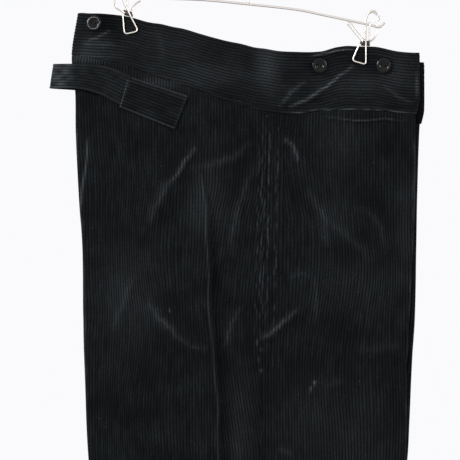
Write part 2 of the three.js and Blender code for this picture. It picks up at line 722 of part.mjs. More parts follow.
const hangerBar = () => bentWire(BAR_LINE.map(([x, z]) => new THREE.Vector3(x, 0, z)), BAR_WIRE, 8, 30);

function clipJaw(clip, side) {
  const points = clip.jaw.map(([x, z]) => {
    const raised = Math.max(0, z - clip.barrel.z - HANDLE_START);
    return new THREE.Vector3(x, side * (JAW_DEPTH + HANDLE_LEAN * raised), z);
  });
  return bentWire(points, CLIP_WIRE, 6, 34);
}

// The bail passes over the bar and stands on the spring barrel between the two jaws
function clipBail(clip) {
  const radius = BAR_WIRE + SEAM_GAP + BAIL_WIRE;
  const points = [[-radius, clip.bail.foot], [-radius, mix(clip.bail.foot, clip.bail.bar, 0.6)]];
  for (const degrees of [180, 135, 90, 45, 0]) {
    const angle = (degrees * Math.PI) / 180;
    points.push([radius * Math.cos(angle), clip.bail.bar + radius * Math.sin(angle)]);
  }
  points.push([radius, mix(clip.bail.foot, clip.bail.bar, 0.6)], [radius, clip.bail.foot]);
  return bentWire(points.map(([y, z]) => new THREE.Vector3(clip.bail.x, y, z)), BAIL_WIRE, 6, 18);
}

function slideShape() {
  const outer = new THREE.Shape();
  const { halfWidth, halfHeight, wire, depth, shorterSlot } = SLIDE;
  outer.moveTo(-halfWidth, -halfHeight);
  outer.lineTo(halfWidth, -halfHeight);
  outer.lineTo(halfWidth, halfHeight);
  outer.lineTo(-halfWidth, halfHeight);
  for (const side of [-1, 1]) {
    const hole = new THREE.Path();
    const near = side * (wire / 2);
    const away = side * (halfWidth - wire);
    const top = halfHeight - wire - (side > 0 ? shorterSlot : 0);
    hole.moveTo(near, -top);
    hole.lineTo(near, top);
    hole.lineTo(away, top);
    hole.lineTo(away, -top);
    outer.holes.push(hole);
  }
  return new THREE.ExtrudeGeometry(outer, { depth, bevelEnabled: false });
}

const group = new THREE.Group();

function add(name, geometry, look) {
  const mesh = new THREE.Mesh(geometry, new THREE.MeshStandardMaterial(look));
  mesh.name = name;
  group.add(mesh);
  return mesh;
}

const HALVES = [
  { name: "right", half: WEARERS_RIGHT },
  { name: "left", half: WEARERS_LEFT },
];

const cloths = {};
for (const { name, half } of HALVES) {
  const band = add(`waistband_${name}`, waistband(half), clothMaterial);
  const back = add(`back_${name}`, panel(half, "back"), clothMaterial);
  const front = add(`front_${name}`, panel(half, "front"), clothMaterial);
  const cloth = [band, back, front];
  cloths[name] = cloth;
  add(`strap_patch_${name}`, rootPatch(cloth, half), clothMaterial);
  add(`pocket_edge_${name}`, pocketEdge(cloth, half), clothMaterial);
  for (const button of SUSPENDER_BUTTONS) {
    const mesh = add(`button_${button.name}_${name}`, buttonShape(BUTTON_RADIUS), buttonMaterial);
    placeButton(mesh, cloth, half, button.x, button.z - frontDrop(half, button.x), button.lean);
  }
}

add("strap_tongue", strapTongue(cloths.right, cloths.left), clothMaterial);
add("strap_short", strapShort(cloths.left), clothMaterial);
const slide = add("strap_slide", slideShape(), wireMaterial);
const slideSeat = [-1, 0, 1].map((side) => {
  return strapDepth(cloths.left, WEARERS_LEFT, SLIDE.x + side * SLIDE.halfWidth);
});
slide.rotation.x = Math.PI / 2;
slide.position.set(
  SLIDE.x,
  Math.max(...slideSeat) + STRAP_THICKNESS / 2 + SEWN_GAP + SLIDE.depth,
  read(STRAP_LINE, "x", "z", SLIDE.x),
);

add("fly_placket", flyPlacket(), clothMaterial);
FLY_BUTTONS.heights.forEach((z, index) => {
  const mesh = add(`fly_button_${index + 1}`, buttonShape(FLY_BUTTONS.radius), buttonMaterial);
  const lift = PLACKET.thickness / 2 + SEAM_GAP + BUTTON_THICKNESS / 2;
  mesh.position.set(frontSeam(z) - FLY_BUTTONS.fromSeam, lift, z);
});
const waistButton = add("waist_button", buttonShape(WAIST_BUTTON.radius), buttonMaterial);
const bandInside = outerY(WEARERS_RIGHT, WAIST_BUTTON.x, WAIST_BUTTON.z) + BAND_THICKNESS / 2;
const waistButtonY = bandInside + WAIST_BUTTON.clear + BUTTON_THICKNESS / 2;
waistButton.position.set(WAIST_BUTTON.x, waistButtonY, WAIST_BUTTON.z);

add("hanger_hook", hangerHook(), wireMaterial);
add("hanger_bar", hangerBar(), wireMaterial);
for (const [name, clip] of Object.entries(CLIPS)) {
  add(`clip_${name}_front_jaw`, clipJaw(clip, -1), wireMaterial);
  add(`clip_${name}_rear_jaw`, clipJaw(clip, 1), wireMaterial);
  add(`clip_${name}_bail`, clipBail(clip), wireMaterial);
  const barrel = new THREE.CylinderGeometry(BARREL_RADIUS, BARREL_RADIUS, BARREL_LENGTH, 12);
  const mesh = add(`clip_${name}_spring`, barrel, springMaterial);
  mesh.rotation.z = Math.PI / 2;
  mesh.rotation.order = "YXZ";
  mesh.rotation.y = clip.barrel.turn;
  mesh.position.set(clip.barrel.x, 0, clip.barrel.z);
}

export default group;
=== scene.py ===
# %% [markdown]
# # Corduroy work trousers on a wire clip hanger
# The trousers are folded along the centre back and the centre front, so the two halves hang flat
# against each other, and two wire clips hold the waistband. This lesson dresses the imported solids:
# each soft solid gets a thin shell of real corduroy ribs on the same form, and each hard one gets a
# finer wire, coil or button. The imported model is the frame, so nothing is fitted by eye.

import bmesh
import bpy
import numpy as np
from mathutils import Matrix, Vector


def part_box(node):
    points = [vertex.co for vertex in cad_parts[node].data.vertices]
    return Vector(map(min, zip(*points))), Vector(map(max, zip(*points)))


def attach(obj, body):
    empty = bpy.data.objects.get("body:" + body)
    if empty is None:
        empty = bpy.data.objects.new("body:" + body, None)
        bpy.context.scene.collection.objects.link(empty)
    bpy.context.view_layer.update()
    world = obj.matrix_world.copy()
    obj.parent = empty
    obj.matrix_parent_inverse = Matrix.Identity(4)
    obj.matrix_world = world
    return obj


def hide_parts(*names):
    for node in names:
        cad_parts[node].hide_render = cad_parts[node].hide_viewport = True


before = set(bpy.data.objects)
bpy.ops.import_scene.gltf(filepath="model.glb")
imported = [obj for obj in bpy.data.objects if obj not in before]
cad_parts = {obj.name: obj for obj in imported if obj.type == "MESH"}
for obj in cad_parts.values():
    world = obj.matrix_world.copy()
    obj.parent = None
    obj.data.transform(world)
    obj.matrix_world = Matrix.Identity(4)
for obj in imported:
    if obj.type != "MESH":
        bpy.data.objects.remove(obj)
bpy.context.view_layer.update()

# %% [markdown]
# ## The measures
# A tailor works from a few measures: the height of the waistband along its length, the outline of
# the folded trousers at each height, and how full they hang. They are tables here, in millimetres,
# and smooth curves run through their rows. X goes from the centre back to the centre front, Z is
# up, and the wearer's right half faces the camera, at negative Y.

# %% Measures in millimetres
METRE = 0.001
RIGHT, LEFT = -1, 1
HALF_NAMES = {RIGHT: "right", LEFT: "left"}

CLOTH = 1.7
BAND_THICKNESS = 3.0
HEM_THICKNESS = 3.4
HALF_GAP = 0.15
INSEAM_GAP = 0.02
CROTCH_Z = -464.0
HEM_Z = -1237.0
HEM_HEIGHT = 32.0
HEM_TOP_Z = HEM_Z + HEM_HEIGHT


def table(names, rows):
    """Rows of numbers as named columns, sorted by the first one."""
    columns = np.array(sorted(rows), dtype=float).T
    return dict(zip(names, columns))


WAIST = table(("x", "top", "seam"), [
    (-222, -84.6, -135), (-175, -86.4, -142.8), (-153, -88.8, -148.2), (-125, -96, -159),
    (-96, -102, -168.6), (-67, -109.8, -178.8), (-28, -120, -193.2), (12, -128.4, -203.4),
    (42, -131.2, -206.4), (77, -131.4, -202.8), (98, -124.8, -201.8), (141, -124.8, -202),
    (170, -130.8, -204.7), (202, -132, -206.4),
])
OUTLINE = table(("z", "back", "side", "inseam", "front", "far_front"), [
    (-84, -212.4, 13.2, 8, 190.4, 199), (-135, -220, 13.2, 8, 190.4, 200),
    (-179, -216, 13.2, 8, 190.4, 200.2), (-224, -215.3, 13.2, 8, 190, 195.8),
    (-296, -212, 12.2, 8, 189.8, 193.4), (-368, -207.2, 10.8, 8, 187, 192.2),
    (-440, -206.5, 9, 8, 183.2, 190.8), (-512, -204.5, 7.2, 6, 179.6, 186.7),
    (-620, -199.8, 3.6, 2, 177.6, 181.6), (-830, -183.5, -6, -8, 157.5, 161),
    (-1040, -166.5, -12, -13, 136.5, 140), (-1240, -151, -15, -15, 121, 124.5),
])
FULLNESS = table(("z", "back_reach", "back_round", "front_round", "middle"), [
    (-84, 28, 20, 2.2, 13), (-135, 20, 15, 3.2, 14), (-180, 11, 10, 4, 16), (-224, 8, 8, 4.5, 18),
    (-296, 7, 7, 5, 21), (-368, 6.5, 6.5, 5.5, 22), (-464, 6, 6, 6, 22.5), (-620, 6, 6, 6, 22),
    (-830, 6, 6, 6, 21), (-1240, 6, 6, 6, 20),
])
BACK_X, BACK_TO_FRONT = -215.0, 415.0
BAND_FRONT_END = {RIGHT: 195.6, LEFT: 202.2}
FAR_FRONT_DROP = 11.0
EDGE_WAVE = 0.4


# %% Curves, and a value along a measure
def mix(a, b, t):
    """Goes evenly from a to b as t goes from 0 to 1."""
    return a + (b - a) * t


def smooth(t):
    """An S-shaped step from 0 to 1: three t squared less two t cubed."""
    held = np.clip(t, 0, 1)
    return held * held * (3 - 2 * held)


def together(*values):
    """Arrays side by side, as the columns of one. A single number is repeated to match."""
    return np.stack(np.broadcast_arrays(*values), axis=-1)


def bell(off, width):
    """From 1 in the middle towards 0 on both sides: e to the minus square of off over width."""
    return np.exp(-((off / width) ** 2))


def uneven(at, length, sway, sway_length, shift=0, sway_shift=0):
    """A sine whose phase sways with a longer one, so that no two of its waves are alike."""
    return np.sin(at / length + shift + sway * np.sin(at / sway_length + sway_shift))


def read(columns, key, value, at):
    """A smooth curve through a table. Between two rows it is the cubic that has both rows' values,
    and at each row the slope of the line through the rows on either side."""
    places, values = columns[key], columns[value]
    before = np.maximum(np.arange(len(places)) - 1, 0)
    after = np.minimum(np.arange(len(places)) + 1, len(places) - 1)
    slopes = (values[after] - values[before]) / (places[after] - places[before])
    at = np.clip(at, places[0], places[-1])
    row = np.clip(np.searchsorted(places, at, side="right") - 1, 0, len(places) - 2)
    span = places[row + 1] - places[row]
    t = (at - places[row]) / span
    rise = 3 * t**2 - 2 * t**3
    return (values[row] * (1 - rise) + values[row + 1] * rise
            + slopes[row] * span * (t**3 - 2 * t**2 + t) + slopes[row + 1] * span * (t**3 - t**2))


def outline(name, z):
    return read(OUTLINE, "z", name, z)


def fullness(name, z):
    return read(FULLNESS, "z", name, z)


def front_drop(half, x):
    """The far half's waistband hangs a little lower towards the front."""
    forward = np.clip((x - BACK_X) / BACK_TO_FRONT, 0, 1)
    return FAR_FRONT_DROP * forward**2 if half == LEFT else 0 * forward


def band_top(half, x):
    """The top edge, with the small waves of an edge that has been worn."""
    waves = EDGE_WAVE * uneven(x, 7.3, 1.5, 17, half)
    return read(WAIST, "x", "top", x) + waves - front_drop(half, x)


def band_seam(half, x):
    return read(WAIST, "x", "seam", x) - front_drop(half, x)


print("waist to hem at the side:", round(float(band_top(RIGHT, 12) - HEM_Z)), "mm")

# %% [markdown]
# ## The folded edges
# Each leg is a tube of cloth. At the centre back and the centre front it turns over in a soft round
# fold, then runs back along the middle to the seam. A level cut of a fold is an oval quarter or
# half turn and a straight run, so its points need only an angle and a distance.

# %% One folded edge
INWARD = {"back": 1, "front": -1}
RISE_START_Z, RETURN_AT_WAIST = {"back": -190.0, "front": -300.0}, {"back": 0.6, "front": 2.5}
RISE_CURVE, SHORTEST_RETURN = 2.2, 1.2
LEG_PARTING, LEG_PARTING_HEIGHT = 2.5, 80.0
FAR_BACK_SHIFT, FAR_BACK_FROM_Z, FAR_BACK_OVER = 3.0, -250.0, 200.0
REACH_NAMES = {"back": "back_reach", "front": "front_round"}


def centre_seam(which, z):
    """The centre back or front seam leaves the fold slowly, then runs in to the crotch."""
    down = np.clip((RISE_START_Z[which] - z) / (RISE_START_Z[which] - CROTCH_Z), 0, 1)
    deepest = abs(outline("inseam", CROTCH_Z) - outline(which, CROTCH_Z))
    run = mix(RETURN_AT_WAIST[which], deepest, down**RISE_CURVE)
    return np.where(z <= CROTCH_Z, outline("inseam", z), outline(which, z) + INWARD[which] * run)


class Fold:
    """A level cut of one folded edge, at every height in z."""

    def __init__(self, half, which, z):
        self.edge = outline("far_front" if (half, which) == (LEFT, "front") else which, z)
        if (half, which) == (LEFT, "back"):
            self.edge = self.edge + FAR_BACK_SHIFT * smooth((FAR_BACK_FROM_Z - z) / FAR_BACK_OVER)
        self.inward = INWARD[which]
        seam = centre_seam(which, z) - self.inward * INSEAM_GAP
        self.reach = fullness(REACH_NAMES[which], z)
        self.round = fullness(f"{which}_round", z)
        depth = np.abs(seam - self.edge)
        self.turn = np.arccos(np.clip(1 - depth / self.reach, 0, 1))
        self.run = np.maximum(SHORTEST_RETURN, depth - self.reach)
        self.along_x = self.reach * np.sin(self.turn)
        self.along_depth = self.round * np.cos(self.turn)
        self.length = np.hypot(self.along_x, self.along_depth)
        dip = self.run * self.along_depth / self.length
        half_cloth = CLOTH / 2
        clear = HALF_GAP + (self.round + half_cloth) * np.sin(self.turn)
        clear = clear + half_cloth * np.cos(self.turn)
        parting = LEG_PARTING * smooth((CROTCH_Z - z) / LEG_PARTING_HEIGHT)
        self.centre = clear + dip + parting
        self.wall_start = self.edge + self.inward * self.reach

    def on_return(self, t):
        """The run along the middle: t is 0 at the seam and 1 where the turn starts."""
        back = self.run * (1 - t)
        inside = self.reach * (1 - np.cos(self.turn)) + back * self.along_x / self.length
        depth = self.centre - self.round * np.sin(self.turn) - back * self.along_depth / self.length
        return self.edge + self.inward * inside, depth

    def on_turn(self, t):
        """The oval turn: the angle goes from the run's end, at t 0, to the outer wall, at t 1."""
        angle = mix(-self.turn, np.pi / 2, t)
        x = self.edge + self.inward * self.reach * (1 - np.cos(angle))
        return x, self.centre + self.round * np.sin(angle)


# %% [markdown]
# ## Creases
# Corduroy is stiff, so it keeps few creases, and each one is a soft ridge with a longer slope on
# one side. A cloth simulation would put them anywhere. Here each crease is a smooth line laid on
# the cloth, with its own width, height and lean. A second number says how strong a painted
# highlight is along its top, where the pile is also a little rubbed, and it comes and goes along the
# line.

# %% A smooth line through points
def smooth_line(points, steps=8):
    """A centripetal curve through the points: between two points, the cubic whose slopes come from
    the neighbours, with parameter steps that grow as the square root of the distance."""
    points = np.asarray(points, dtype=float)
    padded = np.vstack([2 * points[0] - points[1], points, 2 * points[-1] - points[-2]])
    p0, p1, p2, p3 = padded[:-3], padded[1:-2], padded[2:-1], padded[3:]

    def knot(a, b):
        return np.maximum(np.sum((b - a) ** 2, axis=1) ** 0.25, 1e-4)[:, None]

    d0, d1, d2 = knot(p0, p1), knot(p1, p2), knot(p2, p3)
    leave = ((p1 - p0) / d0 - (p2 - p0) / (d0 + d1) + (p2 - p1) / d1) * d1
    arrive = ((p2 - p1) / d1 - (p3 - p1) / (d1 + d2) + (p3 - p2) / d2) * d1
    t = (np.arange(steps) / steps)[None, :, None]
    curve = (p1[:, None] * (2 * t**3 - 3 * t**2 + 1) + leave[:, None] * (t**3 - 2 * t**2 + t)
             + p2[:, None] * (3 * t**2 - 2 * t**3) + arrive[:, None] * (t**3 - t**2))
    return np.vstack([curve.reshape(-1, points.shape[1]), points[-1:]])


# %% The creases of each half
def crease(width, height, worn, points, lean=1.0):
    """One crease: half width and height in millimetres, the strength of the painted highlight and wear
    on its top from 0 to 1, its line, and how many times wider its slope is on the right of its line.
    All are pressed a little sharper alike."""
    return {"width": SHARPER_WIDTH * width, "height": SHARPER_HEIGHT * height, "worn": worn,
            "lean": lean, "line": smooth_line(points, 6)}


SHARPER_WIDTH, SHARPER_HEIGHT = 0.85, 1.35
WANDER, CREST_WIDTHS, BROKEN, FAINT, FAINT_WIDTH = 0.12, (0.14, 0.32), 0.24, 0.2, 0.8
MOUTH = [(82, -207.5), (84.6, -209.4), (100.8, -211.6), (118.8, -213.8), (136.8, -213.2),
         (154.8, -211.6), (172.8, -213.8), (181, -212.6)]
# Columns: half width, height, painted highlight and wear, the line's points of x and z, and the lean.
CREASE_ROWS = {
    RIGHT: [
        (4.4, 2.2, 0.62, [(-70.8, -244.8), (-84, -262), (-94, -278), (-106, -292)], 2.0),
        (8, 2.2, 0.34, [(-90, -276), (-108, -296), (-120, -318), (-127.2, -340)], 1.8),
        (3.4, -0.6, 0, [(-126, -340), (-138, -370), (-152, -398), (-164, -426)]),
        (8, 1.6, 0.3, [(-144, -396), (-165.6, -448.8), (-172.8, -465.6)], 1.6),
        (7, 1.7, 0.3, [(-79.2, -272.4), (-28.8, -258), (-3.6, -237.6)], 1.5),
        (8, 1.8, 0.3, [(0, -265.2), (-18, -307.2), (-28.8, -356.4), (-28.8, -378)], 1.7),
        (8, 2.2, 0.4, [(-130.8, -430.8), (-109.2, -454.8), (-94.8, -469.2), (-80, -482)], 1.6),
        (5, 1.2, 0.3, [(-84, -480), (-70, -485), (-56, -484)], 1.4),
        (6, 1.5, 0.35, [(-19.2, -434.4), (-32.4, -465.6), (-39, -487.2)], 1.4),
        (7, 1.8, 0.3, [(60, -296.4), (80.4, -328.8), (84, -367.2)], 1.6),
        (3, -0.62, 0, [(66, -307.2), (109.2, -343.2), (140.4, -370.8)]),
        (7, 1.5, 0.22, [(74, -322), (106, -350), (134, -374)], 1.3),
        (7, 1.6, 0.22, [(115.2, -318), (136.8, -325.2), (151.2, -350.4), (154.8, -374.4)], 1.5),
        (3.6, 1.3, 0.32, [(68.4, -400), (72, -420), (70.8, -456)], 1.8),
        (3.4, 1.1, 0.26, [(40, -402), (54, -396.6), (68, -399)], 1.4),
        (6, 2.1, 0.55, [(49.2, -438), (27.6, -458.4), (3.6, -476.4)], 1.5),
        (9, 1.3, 0.2, [(115.9, -487.2), (150, -486), (178.8, -480)]),
        (7, 1.3, 0.2, [(80.4, -532.8), (105.6, -522)]),
        (6, 1.4, 0.3, [(24, -604.8), (45.6, -612)]),
        (1.7, 1.1, 0.5, MOUTH),
        (1.9, -1.1, 0, [(x, z - 3.2) for x, z in MOUTH]),
        (4.5, 1.7, 0.6, [(30, -236), (36, -238), (46.8, -248.4), (49.2, -265.2)], 1.3),
        (3.8, 3, 0.86, [(118, -146), (101, -159), (79.2, -176.4), (58, -190), (38, -199)], 2.2),
        (5, 1.8, 0.5, [(60, -166), (49.2, -174), (26.4, -198)], 1.6),
        (2.2, 1.6, 1.0, [(66, -137.4), (80, -134), (96, -129.6), (110, -127.8), (120, -127.4)], 1.6),
        (3.6, 2, 0.78, [(-200, -119), (-190, -114.5), (-176, -105)], 1.6),
        (5, 1.1, 0.4, [(-206, -124), (-188, -122), (-168, -123)]),
        (7, 1.2, 0.2, [(-120, -104), (-112, -128), (-116, -150)], 1.4),
        (3.6, 1.6, 0.38, [(152, -171), (166, -182), (178, -189), (188, -192.6)], 1.5),
        (9, 1.5, 0.15, [(-100, -760), (-30, -790), (20, -780)], 1.3),
        (10, 1.4, 0.15, [(95, -700), (60, -760), (50, -830)], 1.3),
        (10, 1.3, 0.15, [(-120, -900), (-80, -960), (-70, -1040)], 1.4),
        (10, 1.3, 0.15, [(80, -930), (40, -1000), (30, -1080)], 1.4),
    ],
    LEFT: [
        (8, 2.3, 0.45, [(-78, -262), (-104, -300), (-128, -340)], 1.7),
        (8, 1.7, 0.3, [(-88, -290), (-40, -282), (-6, -252)], 1.5),
        (7, 2, 0.5, [(-122, -444), (-96, -470), (-66, -488), (-44, -490)], 1.6),
        (8, 1.7, 0.3, [(70, -306), (88, -346), (90, -394)], 1.6),
        (7, 1.8, 0.4, [(60, -450), (36, -468), (8, -474)], 1.5),
        (9, 1.4, 0.25, [(120, -410), (152, -430), (176, -470)], 1.4),
        (5, 2.6, 0.8, [(110, -162), (84, -186), (58, -204)], 2.0),
        (5, 1.6, 0.4, [(146, -160), (160, -182), (170, -208)], 1.5),
        (4, 1.2, 0.45, [(70, -222), (110, -226), (160, -226)], 1.4),
        (5, 1.8, 0.6, [(-186, -112), (-168, -122), (-150, -138)], 1.6),
        (10, 1.4, 0.15, [(-90, -720), (-30, -760), (10, -840)], 1.3),
        (10, 1.3, 0.15, [(90, -800), (50, -880), (44, -960)], 1.4),
        (11, 1.3, 0.15, [(-110, -980), (-70, -1060), (-60, -1130)], 1.4),
    ],
}
CREASES = {half: [crease(*row) for row in rows] for half, rows in CREASE_ROWS.items()}


def crease_at(one, x, z):
    """Height of one crease at every point: a bell across its line, fading at both ends as the
    square root of a sine. Also its painted highlight, with a little wear of the pile: a narrow
    broken line along the crest, wider the stronger it is, and a faint broad one."""
    height, worn = np.zeros(x.shape), np.zeros(x.shape)
    line, reach = one["line"], 3 * one["width"] * max(one["lean"], 1)
    low, high = line.min(axis=0) - reach, line.max(axis=0) + reach
    near = (x > low[0]) & (x < high[0]) & (z > low[1]) & (z < high[1])
    if not near.any():
        return height, worn
    start, step = line[:-1], np.diff(line, axis=0)
    length = np.hypot(*step.T)
    begun = np.concatenate([[0], np.cumsum(length)])
    dx, dz = x[near][:, None] - start[:, 0], z[near][:, None] - start[:, 1]
    along = np.clip((dx * step[:, 0] + dz * step[:, 1]) / length**2, 0, 1)
    away = np.hypot(dx - along * step[:, 0], dz - along * step[:, 1])
    nearest = away.argmin(axis=1)
    pick = (np.arange(len(nearest)), nearest)
    on_right = (dx * step[:, 1] - dz * step[:, 0])[pick] > 0
    width = one["width"] * np.where(on_right, one["lean"], 1)
    travelled = begun[:-1][nearest] + along[pick] * length[nearest]
    fade = np.sqrt(np.clip(np.sin(np.pi * travelled / begun[-1]), 0, 1))
    wander = WANDER * one["width"] * (np.sin(travelled / 5.1) + np.sin(travelled / 2.3 + 1))
    off = away[pick] * np.where(on_right, 1, -1) + wander
    height[near] = one["height"] * bell(off, width) * fade
    narrow = mix(*CREST_WIDTHS, one["worn"]) * one["width"]
    broken = 1 - BROKEN + BROKEN * uneven(travelled, 4.3, 1.7, 11)
    crest = one["worn"] * broken * bell(off, narrow)
    worn[near] = one["worn"] * fade * (crest + FAINT * bell(off, FAINT_WIDTH * one["width"]))
    return height, worn


# %% The broad folds and the long fold down the leg
# Columns: from x and z, to x and z, width and height.
FOLDS = {
    RIGHT: [
        (-71, -245, -127, -336, 13, 3.5), (-79, -261, -4, -226, 12, 2.5),
        (-144, -384, -172, -466, 13, 2.5), (-131, -431, -62, -484, 12, 3),
        (64, -296, 84, -368, 13, 2.5), (62, -434, 4, -476, 12, 3),
        (-100, -780, 30, -830, 18, 3), (110, -800, 10, -860, 18, 2.5),
    ],
    LEFT: [
        (-76, -262, -132, -350, 14, 3.2), (-120, -446, -48, -492, 13, 3), (70, -310, 88, -392, 13, 2.5),
        (70, -446, 8, -470, 13, 3), (-110, -800, 20, -842, 18, 3),
    ],
}
LONG_FOLD_START = (-63.6, -262.0)
LONG_FOLD_LEAN, LONG_FOLD_LEAN_HEIGHT = 0.06, 340.0
LONG_FOLD_HEIGHT, LONG_FOLD_FULL_Z, LONG_FOLD_END_Z = 6.5, -330.0, -900.0
LONG_FOLD_CREST, LONG_FOLD_FOOT, LONG_FOLD_CLEAR = 2.0, 2.5, 26.0
LONG_FOLD_SLOPE, LONG_FOLD_FADE, LONG_FOLD_DROP = 20.0, 260.0, -0.3
LONG_FOLD_TROUGH, LONG_FOLD_SHADE = -0.62, 13.0


def broad_fold(fold, x, z):
    """A wide low ridge over a straight line, with the same fading ends as a crease."""
    from_x, from_z, to_x, to_z, width, height = fold
    length = np.hypot(to_x - from_x, to_z - from_z)
    along = ((x - from_x) * (to_x - from_x) + (z - from_z) * (to_z - from_z)) / length**2
    across = ((x - from_x) * (to_z - from_z) - (z - from_z) * (to_x - from_x)) / length
    fade = np.sqrt(np.sin(np.pi * np.clip(along, 0, 1)).clip(0))
    return height * bell(across, width) * fade


def long_fold_x(z):
    """Where the long fold's crest runs: it leans a little, and wanders as a hanging fold does."""
    down = np.clip(LONG_FOLD_START[1] - z, 0, LONG_FOLD_LEAN_HEIGHT)
    wander = 1.3 * np.sin(z / 31) + 0.8 * np.sin(z / 12.7 + 1)
    return LONG_FOLD_START[0] + LONG_FOLD_LEAN * down + wander


def long_fold(x, z):
    """A fold that laps over to the right: a long slope up from the left, a steep drop past the
    crest, and a shallow trough at its foot."""
    grown = smooth((LONG_FOLD_START[1] - z) / (LONG_FOLD_START[1] - LONG_FOLD_FULL_Z))
    height = LONG_FOLD_HEIGHT * grown * smooth((z - LONG_FOLD_END_Z) / LONG_FOLD_FADE)
    past = x - long_fold_x(z)
    slope = bell(past + LONG_FOLD_CREST, LONG_FOLD_SLOPE)
    over = np.clip((past + LONG_FOLD_CREST) / (LONG_FOLD_CREST + LONG_FOLD_FOOT), 0, 1)
    drop = mix(1, LONG_FOLD_DROP, over)
    sunk = mix(LONG_FOLD_DROP, LONG_FOLD_TROUGH, smooth((past - LONG_FOLD_FOOT) / LONG_FOLD_SHADE))
    trough = sunk * (1 - smooth((past - LONG_FOLD_FOOT - LONG_FOLD_SHADE) / LONG_FOLD_CLEAR))
    shape = np.where(past <= -LONG_FOLD_CREST, slope, np.where(past <= LONG_FOLD_FOOT, drop, trough))
    return height * shape


PUCKER, PUCKER_REACH, PUCKER_FROM_Z = 0.55, 8.0, -205.0
DRAWN, DRAWN_REACH = 0.4, 9.0


def ripples(half, x, z):
    """What is left everywhere: slow waves in the cloth, and short puckers beside the side seam and
    below the band, where the sewing has drawn it in."""
    shift = 0 if half == RIGHT else 2.1
    waves = 0.45 * np.sin(x / 23 + z / 61 + shift) * np.sin(z / 47 - x / 71 + shift)
    waves += 0.2 * np.sin(x / 9.1 - z / 37 + shift) * np.sin(z / 19 + x / 33)
    beside = np.abs(x - outline("side", z))
    pucker = PUCKER * uneven(z, 2.9, 1.4, 11.3) * bell(beside, PUCKER_REACH)
    pucker *= smooth((PUCKER_FROM_Z - z) / 15)
    below = band_seam(half, x) - z
    drawn = DRAWN * uneven(x, 3.3, 1.7, 13) * bell(below, DRAWN_REACH) * (below > 0)
    return waves + pucker + drawn


# %% Distance of the outer cloth from the middle
# Each clip: x and lower edge of its press; the spring barrel's x, z and turn; the bail's x, foot and
# bar; the handles' points of x, z and depth; and the jaw's points of x and z.
CLIPS = {
    "left": {
        "x": -151.5, "bottom": -110.0, "barrel": (-153.5, -84.6, 0.26), "bail": (-154.6, -80.2, -64.8),
        "handles": [
            [(-157.5, -84.5, -3), (-162, -81.8, -5), (-167.4, -78, -6), (-169.4, -72, -7),
             (-169, -66, -7.6)],
            [(-149.6, -82.5, 3), (-148.6, -77.5, 5), (-144, -72, 6), (-139.4, -69, 6.6)],
        ],
        "jaw": [(-159.6, -88), (-159, -96), (-158.2, -104.6), (-157.4, -107.8), (-155, -109),
                (-150.4, -108.2), (-145.4, -107), (-142.8, -105.6), (-142.7, -103.4), (-145, -98.6),
                (-149, -91), (-152.4, -84), (-154.8, -79), (-157.5, -74), (-160.5, -66), (-165, -60),
                (-170, -62)],
    },
    "right": {
        "x": 124.5, "bottom": -145.5, "barrel": (131.0, -120.4, 0.04), "bail": (136.4, -116.8, -98.2),
        "handles": [
            [(127.6, -118.6, -3.6), (120, -109.6, -5), (112.2, -100.4, -6), (109.6, -96.8, -6.2),
             (111.6, -95.4, -6.2), (115, -98, -6), (122.6, -107.2, -5), (130, -115.6, -3.6)],
            [(134.5, -119.6, 3.4), (139.4, -116.4, 4.4), (144.4, -110, 5.4), (145.4, -103, 6),
             (143.6, -96, 6.4)],
        ],
        "jaw": [(124, -121.6), (121.2, -127.6), (118, -134.8), (116.6, -138.4), (116.5, -140.8),
                (118.2, -142.2), (122.4, -143.4), (127, -144.8), (129.7, -145.2), (131.3, -144.2),
                (131.6, -141.6), (131.6, -132), (131.6, -120), (131.6, -106), (132, -92),
                (135, -84.6), (140.4, -82.2), (146, -86), (147.4, -92)],
    },
}
PINCHED_DEPTH, PINCH_CORE, PINCH_SPREAD, PINCH_FADE = 1.9, 10.0, 30.0, 48.0
FLAT_EDGE_SHARE = 0.08


def pressed(x, z, depth):
    """The clips press the band flat, and the cloth opens again beside and below each."""
    press = np.zeros(np.shape(x))
    for clip in CLIPS.values():
        beside = np.maximum(0, np.abs(x - clip["x"]) - PINCH_CORE)
        below = np.maximum(0, clip["bottom"] - 2 - z)
        press = np.maximum(press, bell(beside, PINCH_SPREAD) * bell(below, PINCH_FADE))
    return mix(depth, np.minimum(depth, PINCHED_DEPTH), press)


def outer_depth(half, x, z):
    """Half the fold's depth at each edge, swelling to the fullness in the middle, with the folds,
    creases and ripples on top. They fade out at the two edges."""
    back, front = Fold(half, "back", z), Fold(half, "front", z)
    across = np.clip((x - back.wall_start) / (front.wall_start - back.wall_start), 0, 1)
    at_edges = mix(back.centre + back.round, front.centre + front.round, smooth(across))
    swell = 1 - np.abs(2 * across - 1) ** 3
    raised = long_fold(x, z) + ripples(half, x, z)
    raised += sum(broad_fold(fold, x, z) for fold in FOLDS[half])
    raised += sum(crease_at(one, x, z)[0] for one in CREASES[half])
    inside = smooth(across / FLAT_EDGE_SHARE) * smooth((1 - across) / FLAT_EDGE_SHARE)
    return mix(at_edges, fullness("middle", z), swell) + inside * raised
